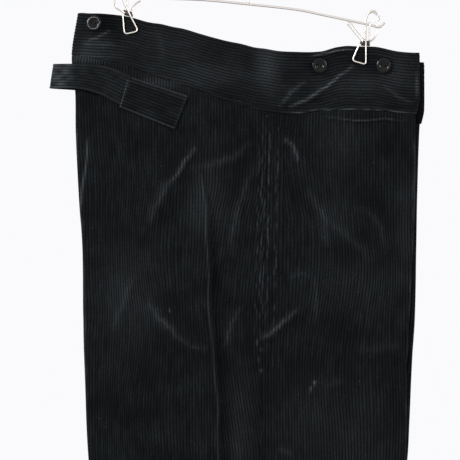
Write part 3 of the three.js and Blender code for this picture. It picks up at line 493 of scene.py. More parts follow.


# Patches of painted light on the ribs, where the pile also lies differently. Columns: x and z,
# width and height, and how much painted light.
LIT_AND_BRUSHED = [
    (-58, -312, 20, 40, 0.1), (-22, -590, 16, 70, 0.07), (-150, -420, 34, 60, 0.07),
    (178, -340, 12, 60, 0.08), (120, -410, 52, 38, 0.05), (14, -146, 14, 34, 0.2),
    (124, -168, 50, 14, 0.1), (-190, -124, 20, 12, 0.16), (-60, -160, 44, 16, 0.1),
    (100, -240, 26, 40, 0.05), (90, -330, 24, 24, 0.06), (-96, -120, 60, 26, 0.06),
    (69.6, -526.8, 1.5, 2, 0.9), (64.8, -534, 1.3, 2, 0.7), (-103, -440, 1.2, 2, 0.35),
    (1, -478, 1.1, 3, 0.4), (6, -486, 1.6, 1.6, 0.4), (3.2, -499, 1.0, 3, 0.26),
    (5.6, -512, 1.4, 1.6, 0.4),
    (100, -590, 76, 66, 0.05), (-200, -139, 22, 7, 0.22), (170, -150, 16, 26, 0.08),
    (-122, -170, 22, 8, 0.12),
]
# Columns: distance from the side seam, and how bright its painted highlight is.
POCKET_LINES = [(3.6, 0.24), (8.2, 0.34), (11.8, 0.22), (16.6, 0.3), (26.0, 0.34)]
POCKET_LINES_TOP, POCKET_LINES_END, POCKET_LINES_LEAN = -213.0, -484.0, 0.018
POCKET_LINE_WIDTH = 0.65


def crushed_pile_highlights(x, z):
    """Painted highlights where the pocket's stitch lines have crushed and puckered the pile beside
    the side seam: fine lines that wander, each broken by slower and faster waves of its own."""
    worn = np.zeros(x.shape)
    fallen = POCKET_LINES_TOP - z
    within = smooth(fallen / 22) * smooth((z - POCKET_LINES_END) / 60)
    for k, (line, strength) in enumerate(POCKET_LINES):
        wander = 0.7 * uneven(z, 8.3, 1.8, 23, 2.4 * k, k)
        wander += 0.4 * uneven(z, 3.1, 1, 7.7, 1.9 * k) + 0.2 * np.sin(z / 1.3 + k)
        broken = 0.5 + 0.5 * uneven(z, 3.7, 1, 5.9, 3 * k) + 0.4 * np.sin(z / 15.1 + 2 * k)
        off = x - line - wander + POCKET_LINES_LEAN * fallen
        worn = np.maximum(worn, strength * smooth(broken) * within * bell(off, POCKET_LINE_WIDTH))
    return worn


# A painted highlight along the long fold's crest, and painted sheen along the rims of the folded edges.
CREST_HIGHLIGHT, CREST_WIDTH, RIM_WIDTH, RIM_FADE = 0.2, 0.9, 1.2, 14.0
# Columns: from x and z, to x and z, and how bright the painted sheen is.
SHEEN_RIMS = [
    ((-199.5, -232), (-211.5, -330), 0.4), ((-213.5, -222), (-214.5, -262), 0.4),
    ((-210, -300), (-206, -420), 0.25), ((-206, -400), (-203, -560), 0.18),
    ((189.4, -232), (188.4, -380), 0.3), ((185.4, -392), (178.4, -600), 0.2),
    ((194.4, -138), (192.8, -190), 0.3),
]


def worn_at(half, x, z):
    """How much painted highlight, with a little wear, the pile has: the most that any crease, the
    long fold's crest, a rim's painted sheen or a pocket's stitch line says. Patches of painted
    light, where the pile also lies differently, add to it."""
    worn = np.zeros(x.shape)
    for one in CREASES[half]:
        worn = np.maximum(worn, crease_at(one, x, z)[1])
    crest = bell(x - long_fold_x(z) + LONG_FOLD_CREST, CREST_WIDTH)
    worn = np.maximum(worn, CREST_HIGHLIGHT * crest * smooth((LONG_FOLD_START[1] - z) / 40))
    for start, end, strength in SHEEN_RIMS:
        line = mix(start[0], end[0], np.clip((start[1] - z) / (start[1] - end[1]), 0, 1))
        within = smooth((start[1] - z) / RIM_FADE) * smooth((z - end[1]) / RIM_FADE)
        line = line + 0.7 * uneven(z, 6.3, 1.3, 17)
        worn = np.maximum(worn, strength * within * bell(x - line, RIM_WIDTH))
    worn = np.maximum(worn, crushed_pile_highlights(x, z))
    lit_and_brushed = sum(strength * bell(x - at_x, wide) * bell(z - at_z, high)
                  for at_x, at_z, wide, high, strength in LIT_AND_BRUSHED)
    return worn + lit_and_brushed


def cloth_depth(half, x, z):
    """Depth of the middle of the cloth as seen from outside, round the back fold too."""
    fold = Fold(half, "back", z)
    inside = np.clip((fold.wall_start - x) / fold.reach, 0, 1)
    turned = fold.centre + fold.round * np.sqrt(1 - inside**2)
    return pressed(x, z, np.where(x < fold.wall_start, turned, outer_depth(half, x, z)))


# %% [markdown]
# ## The ribs
# Broad-wale corduroy has a rib of cut pile about every three and a half millimetres, round on top,
# with a narrow groove between. A bump map would leave the edges of the cloth smooth, and the photo
# shows rib ends along them, so the ribs are real relief. Every rib has four lines of points, at its
# groove, its two shoulders and its top. Where a seam cuts the ribs at a slant, the lines that would
# pass it end on the seam.

# %% Rib lines and how high the cloth is on them
RIB_PITCH = 3.56
RIB_DEPTH = 0.75
RIB_PHASES = np.array([0, 0.2, 0.5, 0.8])
EDGE_LEFT = 0.3


def rib_lines(low, high):
    """Places of all points across the ribs from low to high: whole ribs plus each phase."""
    ribs = np.arange(np.floor(low / RIB_PITCH) - 1, np.ceil(high / RIB_PITCH) + 2)
    return (ribs[:, None] + RIB_PHASES).ravel() * RIB_PITCH


def rib_height(distance):
    """From 0 in a groove to 1 on top of a rib: the square root of a half sine."""
    return np.sqrt(np.abs(np.sin(np.pi * distance / RIB_PITCH)))


def rolled(distance, radius=1.3):
    """How much of the thickness there is near an edge: what the very edge has left, and from there
    a quarter circle up to the radius."""
    share = np.clip(distance / radius, 0, 1)
    return mix(EDGE_LEFT, 1, np.sqrt(1 - (1 - share) ** 2))


# %% Normals and rows of points
def unit(vectors):
    return vectors / np.maximum(np.linalg.norm(vectors, axis=-1, keepdims=True), 1e-9)


def normals_of(points, towards):
    """Square to both lines of the grid at each point, all turned so that the middle of the grid
    looks towards the given direction."""
    across = np.gradient(points, axis=1)
    down = np.gradient(points, axis=0)
    normal = unit(np.cross(across, down))
    middle = normal[len(points) // 2, -len(points[0]) // 4]
    return normal if np.dot(middle, towards) > 0 else -normal


def read_rows(distance, values, wanted):
    """Reads each row's values at its own wanted distances. One call does every row, because each
    row is moved on past the end of the one before."""
    shift = np.arange(len(distance))[:, None] * (2 * np.ptp(distance) + 2 * np.ptp(wanted) + 1)
    flat = np.interp((wanted + shift).ravel(), (distance + shift).ravel(), values.ravel())
    return flat.reshape(wanted.shape)


def every(count, step):
    """Every step-th number from 0, and the last one below the count."""
    return np.append(np.arange(0, count - 1, step), count - 1)


def run_length(line):
    """Distance along a line at each of its points."""
    return np.concatenate([[0], np.cumsum(np.linalg.norm(np.diff(line, axis=0), axis=-1))])


def read_line(at, length, line):
    """The points of a line at these distances along it."""
    return together(*(np.interp(at, length, column) for column in line.T))


# %% [markdown]
# ## From two grids to one closed shell
# A panel is a fine outer grid with the ribs and a coarse inner grid, joined all round by a narrow
# strip. Thickness from a modifier would give the hidden side as many faces as the ribbed one.

# %% Faces of grids and strips
def grid_faces(ids):
    """Two triangles a square. Those that a seam has closed up are left out."""
    a, b, c, d = ids[:-1, :-1], ids[:-1, 1:], ids[1:, 1:], ids[1:, :-1]
    faces = np.concatenate([together(a, b, c), together(a, c, d)]).reshape(-1, 3)
    whole = (faces[:, 0] != faces[:, 1]) & (faces[:, 1] != faces[:, 2]) & (faces[:, 0] != faces[:, 2])
    return faces[whole]


def strip_faces(first, first_at, second, second_at):
    """Joins two lines of points whose numbers differ: each step of the first line goes to the
    nearest point of the second, and each step of the second to where that changes."""
    middles = (first_at[1:] + first_at[:-1]) / 2
    nearest = np.searchsorted((second_at[1:] + second_at[:-1]) / 2, middles)
    change = np.searchsorted(nearest, np.arange(len(second) - 1), side="right")
    return np.concatenate([
        together(first[:-1], first[1:], second[nearest]),
        together(second[:-1], second[1:], first[change]),
    ])


def new_object(name, points, faces, uv=None, values=None):
    """Puts arrays in millimetres into a mesh in metres, turns its faces outwards and smooths it."""
    mesh = bpy.data.meshes.new(name)
    used, faces = np.unique(faces, return_inverse=True)
    faces = faces.reshape(-1, 3)
    mesh.vertices.add(len(used))
    mesh.vertices.foreach_set("co", (points[used] * METRE).ravel())
    mesh.loops.add(faces.size)
    mesh.loops.foreach_set("vertex_index", faces.ravel())
    mesh.polygons.add(len(faces))
    mesh.polygons.foreach_set("loop_start", np.arange(0, faces.size, 3))
    mesh.update(calc_edges=True)
    mesh.polygons.foreach_set("use_smooth", np.ones(len(faces), dtype=bool))
    if uv is not None:
        layer = mesh.uv_layers.new(name="cloth")
        layer.data.foreach_set("uv", (uv[used] * METRE)[faces.ravel()].ravel())
    for title, numbers in (values or {}).items():
        attribute = mesh.attributes.new(title, "FLOAT", "POINT")
        attribute.data.foreach_set("value", numbers[used])
    shaped = bmesh.new()
    shaped.from_mesh(mesh)
    bmesh.ops.recalc_face_normals(shaped, faces=shaped.faces)
    shaped.to_mesh(mesh)
    shaped.free()
    made = bpy.data.objects.new(name, mesh)
    bpy.context.scene.collection.objects.link(made)
    print(name, len(faces), "faces")
    return made


def joined(pieces):
    """Several pairs of points and faces as one pair: the faces' numbers go on from piece to piece."""
    starts = np.cumsum([0] + [len(points) for points, _ in pieces])
    return (np.concatenate([points for points, _ in pieces]),
            np.concatenate([faces + start for (_, faces), start in zip(pieces, starts)]))


cloth_pieces, grids = {}, {}


def shell(node, outer, inner):
    """A closed piece of cloth for a node, kept with its outer grid. Each side is a grid with
    points, uv and where its columns lie, from 0 to 1. The outer one also has its painted highlight
    and wear, its normals and, where a seam cuts its rows, the first and last column that is on the
    piece. The inner one says which of the outer rows it has."""
    rows, columns = outer["points"].shape[:2]
    first, last = outer.get("first", np.zeros(rows, int)), outer.get("last", np.full(rows, columns - 1))
    clipped = np.clip(np.arange(columns)[None], first[:, None], last[:, None])
    outer_ids = np.arange(rows)[:, None] * columns + clipped
    inner_ids = np.arange(inner["points"][..., 0].size).reshape(inner["points"].shape[:2])
    inner_ids = inner_ids + rows * columns
    faces = [grid_faces(outer_ids), grid_faces(inner_ids)]
    for row in (0, -1):
        span = slice(first[row], last[row] + 1)
        faces.append(strip_faces(outer_ids[row, span], outer["across"][row, span],
                                 inner_ids[row], inner["across"][row]))
    down = np.linspace(0, 1, rows)
    for column in (0, -1):
        faces.append(strip_faces(outer_ids[:, column], down,
                                 inner_ids[:, column], down[inner["rows"]]))
    points = np.concatenate([outer["points"].reshape(-1, 3), inner["points"].reshape(-1, 3)])
    uv = np.concatenate([outer["uv"].reshape(-1, 2), inner["uv"].reshape(-1, 2)])
    hidden = np.zeros(inner["points"][..., 0].size)
    worn = np.concatenate([outer["worn"].ravel(), hidden])
    wrong_side = np.concatenate([np.zeros(rows * columns), hidden + 1])
    cloth_pieces[node] = new_object(f"{node}_cloth", points, np.concatenate(faces), uv,
                                    {"worn": worn, "wrong_side": wrong_side})
    grids[node] = outer


# %% [markdown]
# ## The four panels
# A trouser leg is cut as a back and a front panel. The grain, and so every rib, runs straight down
# the panel, and the tapering seams cut the ribs off one by one. The function follows a level cut at
# each height, measures along the cloth from a plumb grain line, and puts the rib lines at their
# distances from it.

# %% Rows of a panel
SIDE_TOP = float(read(WAIST, "x", "seam", outline("side", -200.0)))
GRAIN_X = {"back": -100.0, "front": 100.0}
SHOWN_TO_Z = -650.0
RETURN_SAMPLES, TURN_SAMPLES, WALL_SAMPLES = 24, 24, 300
ROW_SLANT_CURVE, SETTLING_TURNS = 1.4, 4


def panel_rows():
    """Heights at the side seam: close under the band and at the hem, 3.5 mm apart over what the
    photo shows, and wider down the leg."""
    top = SIDE_TOP - HALF_GAP
    under_band = top - np.concatenate([[0, 0.25, 0.7, 1.3], np.arange(2.2, 26, 1.2)])
    shown = np.arange(under_band[-1] - 3, SHOWN_TO_Z, -3.5)
    leg = np.arange(shown[-1] - 9, HEM_TOP_Z + 8, -9.5)
    hem_top = HEM_TOP_Z + np.array([4, 2, 1, 0.2, -0.2, -1, -2, -4])
    hem = HEM_Z + np.array([24, 16, 9, 4, 1.8, 0.8, 0.25, 0])
    return np.concatenate([under_band, shown, leg, hem_top, hem])[:, None]


def settled(half, place, z_side, t):
    """Rows start parallel to the band's seam and are level at the crotch. The height depends on x
    and x on the height, so a few turns of both settle them."""
    down = np.clip((z_side - SIDE_TOP) / (CROTCH_Z - SIDE_TOP), 0, 1)
    slant = (1 - down) ** ROW_SLANT_CURVE
    z = z_side + 0 * t
    x, depth = place(z, t)
    for _ in range(SETTLING_TURNS):
        z = z_side + (band_seam(half, x) - SIDE_TOP) * slant
        x, depth = place(z, t)
    return together(x, half * pressed(x, z, depth), z)


# %% [markdown]
# ### Ribs out of plumb
# The cloth has been handled, so its ribs are not all plumb. They fan out below the places where it
# is drawn together, they follow the back edge, and the long fold has taken cloth up: the ribs
# beside it run in under the fold on the way down and come out again lower. Each rib line keeps its
# own number and only its place on the panel changes.

# %% Where the rib lines lie
# Columns: x and z, width and height, and how far the ribs move.
PULLS = {
    "back": [(-112, -378, 26, 52, -8), (-150, -470, 30, 60, 5), (-60, -430, 20, 50, -5),
             (-170, -300, 30, 50, 4), (-130, -560, 40, 60, -5), (-60, -800, 50, 120, 6)],
    "front": [(64, -372, 34, 66, 9), (128, -392, 34, 50, 8), (96, -520, 44, 60, -6),
              (160, -560, 30, 70, 4), (40, -250, 24, 34, -4), (60, -820, 50, 130, -6)],
}
EDGE_FOLLOWED, EDGE_SPREAD, EDGE_FROM_Z, FAR_HALF_PULL = 0.8, 42.0, -135.0, -0.7
HIDDEN_CLOTH, SQUEEZED_WIDTH, SPARE_CLOTH = 17.0, 1.2, 34.0
HIDDEN_FROM_Z, HIDDEN_GROWS, HIDDEN_TO_Z, HIDDEN_FADES = -262.0, 200.0, -470.0, 170.0


def pulled(half, which, x, z):
    """How far the ribs have moved sideways: a few pulls that fade with the distance, and near the
    back edge the way that edge itself has gone below the band."""
    lie = 1 if half == RIGHT else FAR_HALF_PULL
    moved = sum(lie * by * bell(x - at_x, wide) * bell(z - at_z, high)
                for at_x, at_z, wide, high, by in PULLS[which])
    if which == "back":
        held = np.clip(z, CROTCH_Z, EDGE_FROM_Z)
        gone = outline("back", held) - outline("back", EDGE_FROM_Z)
        moved = moved + EDGE_FOLLOWED * gone * bell(x - outline("back", held), EDGE_SPREAD)
    return moved


def placed_lines(half, which, lines, z, foot):
    """Where each rib line lies in each row, and how far the cloth is squeezed there. The fold hides
    some cloth, so the lines just past its foot are squeezed into a narrow strip."""
    hidden = HIDDEN_CLOTH * smooth((HIDDEN_FROM_Z - z) / HIDDEN_GROWS)
    hidden = hidden * (1 - smooth((HIDDEN_TO_Z - z) / HIDDEN_FADES))
    hidden = np.maximum(hidden if which == "back" else 0 * z, 1e-6)
    squeeze = np.minimum(SQUEEZED_WIDTH, hidden) / hidden
    past = lines[None] - foot
    at = lines[None] - np.clip(past, 0, hidden) * (1 - squeeze)
    at = at + INWARD[which] * pulled(half, which, GRAIN_X[which] + INWARD[which] * at, z)
    return at, np.where((past > 0) & (past < hidden), squeeze, 1)


# %% One panel
GROOVE_FADE, HEM_SEWN_IN, HEM_SEWN_WIDTH = 1.2, 0.3, 1.5
PLAIN_BEYOND, PLAIN_STEP = 24.0, 12.0


def panel(half, which):
    """The cut at height z has three parts, each a function of t from 0 to 1: the return from the
    centre seam, the turn, and the outer wall to the side seam. The outer side is the middle of
    the cloth plus half its thickness, less what a groove takes away."""
    z_side = panel_rows()

    def on_wall(z, t):
        side = outline("side", z) + (HALF_GAP if which == "front" else -HALF_GAP)
        x = mix(Fold(half, which, z).wall_start, side, t)
        return x, outer_depth(half, x, z)

    parts = [
        (RETURN_SAMPLES, False, lambda z, t: Fold(half, which, z).on_return(t)),
        (TURN_SAMPLES, False, lambda z, t: Fold(half, which, z).on_turn(t)),
        (WALL_SAMPLES, True, on_wall),
    ]
    cut = np.concatenate([
        settled(half, place, z_side, np.linspace(0, 1, count, endpoint=ends)[None])
        for count, ends, place in parts
    ], axis=1)
    normal = normals_of(cut, (0, half, 0))
    steps = np.hypot(np.diff(cut[..., 0], axis=1), np.diff(cut[..., 1], axis=1))
    distance = np.pad(np.cumsum(steps, axis=1), ((0, 0), (1, 0)))
    wall_start = RETURN_SAMPLES + TURN_SAMPLES
    inward = INWARD[which]

    def distance_at(x):
        return read_rows(inward * cut[:, wall_start:, 0], distance[:, wall_start:], inward * x)

    distance = distance - distance_at(GRAIN_X[which] + 0 * z_side)
    low, high = distance[:, :1], distance[:, -1:]

    furthest_turn = distance[:, RETURN_SAMPLES].min() - 2 * RIB_PITCH
    ribbed = rib_lines(furthest_turn, high.max() + SPARE_CLOTH)
    plain = np.arange(low.min() - PLAIN_BEYOND, ribbed[0] - 3, PLAIN_STEP)
    lines = np.concatenate([plain, ribbed])
    foot = distance_at(long_fold_x(z_side) + LONG_FOLD_FOOT)
    placed, squeezed = placed_lines(half, which, lines, z_side, foot)
    first = [np.searchsorted(row, start, side="right") - 1 for row, start in zip(placed, low[:, 0])]
    last = [np.searchsorted(row, end) for row, end in zip(placed, high[:, 0])]
    at = np.clip(placed, low, high)
    middle = together(*(read_rows(distance, cut[..., k], at) for k in range(3)))
    facing = unit(together(*(read_rows(distance, normal[..., k], at) for k in range(3))))
    fallen = middle[:1, :, 2] - middle[..., 2]
    left = middle[..., 2] - middle[-1:, :, 2]
    to_edge = np.minimum(np.minimum(at - low, high - at), np.minimum(fallen, left))
    groove = np.where(lines < furthest_turn, 0, RIB_DEPTH * (1 - rib_height(lines)))[None] * squeezed
    hem_line = HEM_SEWN_IN * bell(middle[..., 2] - HEM_TOP_Z, HEM_SEWN_WIDTH)
    lift = CLOTH / 2 * rolled(to_edge) - groove * smooth(to_edge / GROOVE_FADE) - hem_line
    outer = {
        "points": middle + facing * lift[..., None],
        "normals": facing,
        "uv": together(lines, -middle[..., 2]),
        "worn": worn_at(half, middle[..., 0], middle[..., 2]) * (np.sign(facing[..., 1]) == half),
        "first": np.array(first), "last": np.array(last),
        "across": (at - low) / (high - low),
    }
    rows = np.concatenate([[0, 3], np.arange(5, len(cut) - 16, 4), len(cut) - 13 + every(13, 2)])
    columns = np.concatenate([np.arange(0, wall_start, 3),
                              wall_start + every(cut.shape[1] - wall_start, 7)])
    thin = np.ix_(rows, columns)
    chosen = cut[thin]
    in_hem = chosen[..., 2] < HEM_TOP_Z - 0.1
    thickness = np.where(in_hem, HEM_THICKNESS - CLOTH / 2, CLOTH / 2)
    to_end = np.minimum(chosen[:1, :, 2] - chosen[..., 2], chosen[..., 2] - HEM_Z)
    inner = {
        "points": chosen - normal[thin] * (thickness * rolled(to_end))[..., None],
        "uv": together(distance[thin], -chosen[..., 2]),
        "across": ((distance - low) / (high - low))[thin],
        "rows": rows,
    }
    area = float(np.sum(np.linalg.norm(np.cross(
        cut[1:, :-1] - cut[:-1, :-1], cut[:-1, 1:] - cut[:-1, :-1]), axis=-1))) * METRE**2
    print(which, HALF_NAMES[half], "cloth", round(area, 3), "square metres,",
          round(float(np.ptp(distance, axis=1).max())), "mm wide")
    shell(f"{which}_{HALF_NAMES[half]}", outer, inner)


# %% Cut and hang the panels
for half in (RIGHT, LEFT):
    for which in ("back", "front"):
        panel(half, which)

# %% [markdown]
# ## The waistband
# The band is two layers of the same corduroy with the ribs running round the waist. It turns over
# the centre back like the panels and is open at the front. Its ribs follow the top edge, so the
# lower seam cuts them off towards the back, where the band is lower.

# %% One half of the waistband
BAND_SEAM_CLEAR = 0.45
BAND_DRAWN_IN = {RIGHT: 9.0, LEFT: 22.0}
RIB_END = {RIGHT: 0.8, LEFT: 1.4}
SEAM_HIGHLIGHT, SEAM_HIGHLIGHT_FROM_X = 0.42, 24.0
BAND_TURN_COLUMNS, BAND_WALL_COLUMNS, BAND_DEEPEST, BAND_ROLL = 26, 130, 82.0, 1.6
FRONT_DRAWN_IN, FRONT_DRAWN_FROM_Z, BAND_SETTLING_TURNS = 4.0, -188.0, 5
BAND_NORMAL_ROWS, BAND_NORMAL_DEPTH = 40, 50.0


def band(half):
    """A point is found from a share t along the band and a distance d below its top edge. Up to
    the end of the back fold, t is an angle; past it, an even share of x to the front end."""
    turn_t = np.linspace(0, 1, BAND_TURN_COLUMNS, endpoint=False)
    wall_t = np.linspace(0, 1, BAND_WALL_COLUMNS)
    below_top = np.concatenate([[0, 0.2, 0.6, 1.1], rib_lines(1.6 + RIB_PITCH, BAND_DEEPEST)])
    below_top = np.unique(below_top[(below_top == 0) | (below_top > 0.1)])

    def place(z, on_turn, t):
        reach, roundness = fullness("back_reach", z), fullness("back_round", z)
        angle = t * np.pi / 2
        wall = outer_depth(half, Fold(half, "back", z).wall_start, z)
        opened = (wall - BAND_SEAM_CLEAR - roundness) * smooth((t - 0.6) / 0.4)
        if on_turn:
            return (outline("back", z) + reach * (1 - np.cos(angle)),
                    BAND_SEAM_CLEAR + roundness * np.sin(angle) + opened)
        lower = FRONT_DRAWN_FROM_Z - z - front_drop(half, BACK_X + BACK_TO_FRONT)
        drawn_in = FRONT_DRAWN_IN * smooth(lower / BAND_DRAWN_IN[half])
        x = mix(Fold(half, "back", z).wall_start, BAND_FRONT_END[half] - drawn_in, t)
        return x, outer_depth(half, x, z)

    def column(on_turn, t, d):
        x = np.full(np.broadcast_shapes(t.shape, d.shape), -200.0)
        for _ in range(BAND_SETTLING_TURNS):
            seam = band_seam(half, x) + HALF_GAP
            z = np.maximum(band_top(half, x) - d, seam)
            x, depth = place(z, on_turn, t)
        return together(x, half * pressed(x, z, depth), z)

    def whole(d):
        return np.concatenate([column(True, turn_t[:, None], d), column(False, wall_t[:, None], d)])

    middle = whole(below_top[None])
    height = band_top(half, middle[..., 0]) - band_seam(half, middle[..., 0]) - HALF_GAP
    last = np.minimum(np.searchsorted(below_top, height[:, 0]), len(below_top) - 1)
    depths = np.linspace(0, 1, BAND_NORMAL_ROWS)[None] * BAND_NORMAL_DEPTH
    normal = normals_of(whole(depths), (0, half, 0))
    facing = normal[:, np.linspace(0, BAND_NORMAL_ROWS - 1, len(below_top)).astype(int)]
    along = run_length(middle[:, 4])[:, None]
    at = np.minimum(below_top[None], height)
    to_front_or_back = np.minimum(along + 0.6, along[-1] - along)
    to_edge = np.minimum(np.minimum(at, height - at), to_front_or_back)
    ribs = RIB_DEPTH * (1 - rib_height(below_top))[None] * smooth((at - 1.2) / 1.5)
    lift = BAND_THICKNESS / 2 * rolled(to_edge, BAND_ROLL) - ribs * smooth(to_edge / GROOVE_FADE)
    at_end = smooth((along - along[-1] + 3) / 3)
    rib_ends = (rib_height(below_top)[None] - 0.5) * smooth((at - 2) / 2)
    middle[..., 0] += RIB_END[half] * at_end * rib_ends
    x = middle[..., 0]
    # A painted highlight along the band's lower seam, from the side towards the front.
    seam_highlight = SEAM_HIGHLIGHT * smooth((x - SEAM_HIGHLIGHT_FROM_X) / 20)
    seam_highlight = seam_highlight * (0.6 + 0.4 * uneven(x, 3.3, 1.6, 11)) * bell(height - at - 1.4, 1.0)
    outer = {
        "points": middle + facing * lift[..., None],
        "normals": facing,
        "uv": together(at, along),
        "worn": worn_at(half, x, middle[..., 2]) + seam_highlight,
        "last": last,
        "across": at / height,
    }
    rows = every(len(middle), 3)
    shares = np.array([0, 0.02, 0.2, 0.4, 0.6, 0.8, 0.98, 1])
    down = shares[None] * height[rows, :1]
    chosen = np.stack([read_line(down[i], at[row, :last[row] + 1], middle[row, :last[row] + 1])
                       for i, row in enumerate(rows)])
    to_edge = np.minimum(np.minimum(down, height[rows, :1] - down), to_front_or_back[rows])
    inner = {
        "points": chosen - facing[rows, :1] * (BAND_THICKNESS / 2 * rolled(to_edge))[..., None],
        "uv": together(down, along[rows]),
        "across": np.broadcast_to(shares, down.shape), "rows": rows,
    }
    print("band", HALF_NAMES[half], round(float(along[-1, 0])), "mm long")
    shell(f"waistband_{HALF_NAMES[half]}", outer, inner)


for half in (RIGHT, LEFT):
    band(half)

# %% [markdown]
# ## Small cloth pieces
# The patch over the strap's root, the pocket edge, the strap and the fly's underlap are all short
# strips. Each is a grid over two distances, with the ribs along its longer side, and lies on the
# cloth under it or follows a bent path.

# %% A strip of corduroy
FINER_RIBS = 0.8
HEM_RIDGE, HEM_GROOVE, HEM_RIDGE_HIGHLIGHT = (1.3, 0.9), (3.1, 0.7), (0.9, 0.8)
GROOVE_TO_RIDGE, RIDGE_HIGHLIGHT = 1.4, 0.3


def strip_piece(node, middle, normal, along, across, thickness, worn=0, turned_under=0.35, roll=1.1):
    """The grid's rows go along the strip and its columns across it. Both sides stand off the
    middle by half the thickness, less at the edges, and the upper side has the ribs. A hem that is
    turned under makes a low ridge at each edge, and the stitches draw in a groove beside it."""
    across = np.broadcast_to(across, middle.shape[:2])
    width = across[:, -1:]
    to_edge = np.minimum(np.minimum(across, width - across), np.minimum(along, along[-1] - along))
    share = across / width
    at_rib = share * RIB_PITCH * np.round(width.mean() / RIB_PITCH)
    ribs = RIB_DEPTH * (1 - rib_height(at_rib))
    lift = thickness / 2 * rolled(to_edge, roll)
    lift = lift - FINER_RIBS * ribs * smooth((to_edge - 0.4) / GROOVE_FADE)

    def beside_edge(place, width):
        return turned_under * bell(to_edge - place, width)

    lift = lift + beside_edge(*HEM_RIDGE) - GROOVE_TO_RIDGE * beside_edge(*HEM_GROOVE)
    outer = {
        "points": middle + normal * lift[..., None], "normals": normal,
        "uv": together(at_rib, along),
        # A painted highlight along the top of each turned-under hem ridge.
        "worn": RIDGE_HIGHLIGHT * beside_edge(*HEM_RIDGE_HIGHLIGHT) + worn,
        "across": share,
    }
    rows = every(len(middle), 2)
    thin = np.ix_(rows, every(middle.shape[1], 4))
    under = thickness / 2 * rolled(to_edge[thin], roll)
    inner = {
        "points": middle[thin] - normal[thin] * under[..., None],
        "uv": outer["uv"][thin], "across": share[thin], "rows": rows,
    }
    shell(node, outer, inner)


def rib_shares(width):
    """Shares across a strip that carry whole ribs."""
    ribs = int(np.round(width / RIB_PITCH))
    lines = (np.arange(ribs)[:, None] + RIB_PHASES).ravel() / ribs
    edges = np.array([0.004, 0.012, 0.988, 0.996, 1])
    return np.unique(np.concatenate([lines, edges]))


def edged(length, step):
    """Even places along a length, with closer ones at both ends for the rolled edge."""
    inside = np.linspace(2, length - 2, max(2, int(length / step)))
    close = np.array([0, 0.25, 0.7, 1.2])
    return np.concatenate([close, inside, length - close[::-1]])


def sewn_piece(node, half, corners, thickness, raised, worn_of, turned_under=0.35, roll=1.1):
    """A flat piece sewn on the outside. Its corners are joined by straight lines, every point lies
    on the cloth, raised says how far it stands off, and the function after raised gives its painted
    highlight and wear at x and z."""
    back_top, front_top, front_bottom, back_bottom = (np.array(c, dtype=float) for c in corners)
    length = np.linalg.norm(front_top - back_top)
    width = np.linalg.norm(back_bottom - back_top)
    along = edged(length, 1.4)
    u = (along / length)[:, None]
    v = rib_shares(width)[None]
    x, z = (mix(mix(back_top[k], front_top[k], u), mix(back_bottom[k], front_bottom[k], u), v)
            for k in (0, 1))
    depth = cloth_depth(half, x, z) + CLOTH / 2 + thickness / 2 + raised(u, v)
    middle = together(x, half * depth, z)
    normal = normals_of(middle, (0, half, 0))
    strip_piece(node, middle, normal, along[:, None], v * width, thickness, worn_of(x, z),
                turned_under, roll)


# %% [markdown]
# ### Patch and pocket edge
# The patch covers the root of the back strap, so its back edge stands higher, over the strap. The
# pocket edge is the turned and stitched side of a pocket in the side seam, drawn up in puckers.

# %% Patches and pocket edges
PATCH_CORNERS = [(-152.4, -160.8), (-81, -184.4), (-97.2, -224.4), (-163.2, -198)]
PATCH_THICKNESS = 2.2
POCKET_TOP, POCKET_BOTTOM, POCKET_WIDTH, POCKET_THICKNESS = -221.0, -398.0, 19.0, 0.7
# Columns: two corners, how far in from the line between them, and how bright the painted highlight is.
PATCH_EDGE_HIGHLIGHTS = [(0, 1, 0.9, 0.24), (0, 1, 4.2, 0.2), (0, 3, 1.0, 0.3), (3, 2, 0.9, 0.2)]


def over_strap_root(u, v):
    """Clear of the cloth by 0.2 mm, and 3 mm more at the back edge, where the strap comes out."""
    return 0.2 + 3.0 * (1 - smooth(u / 0.3))


def patch_edge_highlights(x, z):
    """Painted highlights along the patch's edges: its top edge in two lines, its back edge, and
    half of its lower edge. Distances are measured from the straight lines between the corners."""
    worn = np.zeros(x.shape)
    for first, second, inset, strength in PATCH_EDGE_HIGHLIGHTS:
        (ax, az), (bx, bz) = PATCH_CORNERS[first], PATCH_CORNERS[second]
        length = np.hypot(bx - ax, bz - az)
        off = np.abs((x - ax) * (bz - az) - (z - az) * (bx - ax)) / length
        along = ((x - ax) * (bx - ax) + (z - az) * (bz - az)) / length**2
        dashes = 0.75 + 0.25 * np.sin(along * 60 + 2 * np.sin(along * 21))
        worn = np.maximum(worn, strength * dashes * bell(off - inset, 0.8))
    return worn


def puckered(u, v):
    """Short waves along the stitching, of uneven length, strongest at both long edges."""
    wave = np.sin(u * 96 + 2.3 * np.sin(u * 17)) * np.abs(2 * v - 1) + 0.5 * np.sin(u * 41 + 5 * v)
    within = smooth(v / 0.2) * smooth((1 - v) / 0.2) * smooth(u / 0.03) * smooth((1 - u) / 0.03)
    return (0.35 + 0.45 * wave) * within - 0.1


for half in (RIGHT, LEFT):
    side = HALF_NAMES[half]
    drop = float(front_drop(half, -120.0))
    corners = [(x, z - drop) for x, z in PATCH_CORNERS]
    sewn_piece(f"strap_patch_{side}", half, corners, PATCH_THICKNESS, over_strap_root, patch_edge_highlights)
    top, bottom = float(outline("side", POCKET_TOP)) + 1, float(outline("side", POCKET_BOTTOM)) + 1
    corners = [(top, POCKET_TOP), (bottom, POCKET_BOTTOM),
               (bottom + POCKET_WIDTH, POCKET_BOTTOM), (top + POCKET_WIDTH, POCKET_TOP)]
    sewn_piece(f"pocket_edge_{side}", half, corners, POCKET_THICKNESS, puckered, crushed_pile_highlights, 0.0, 3.0)

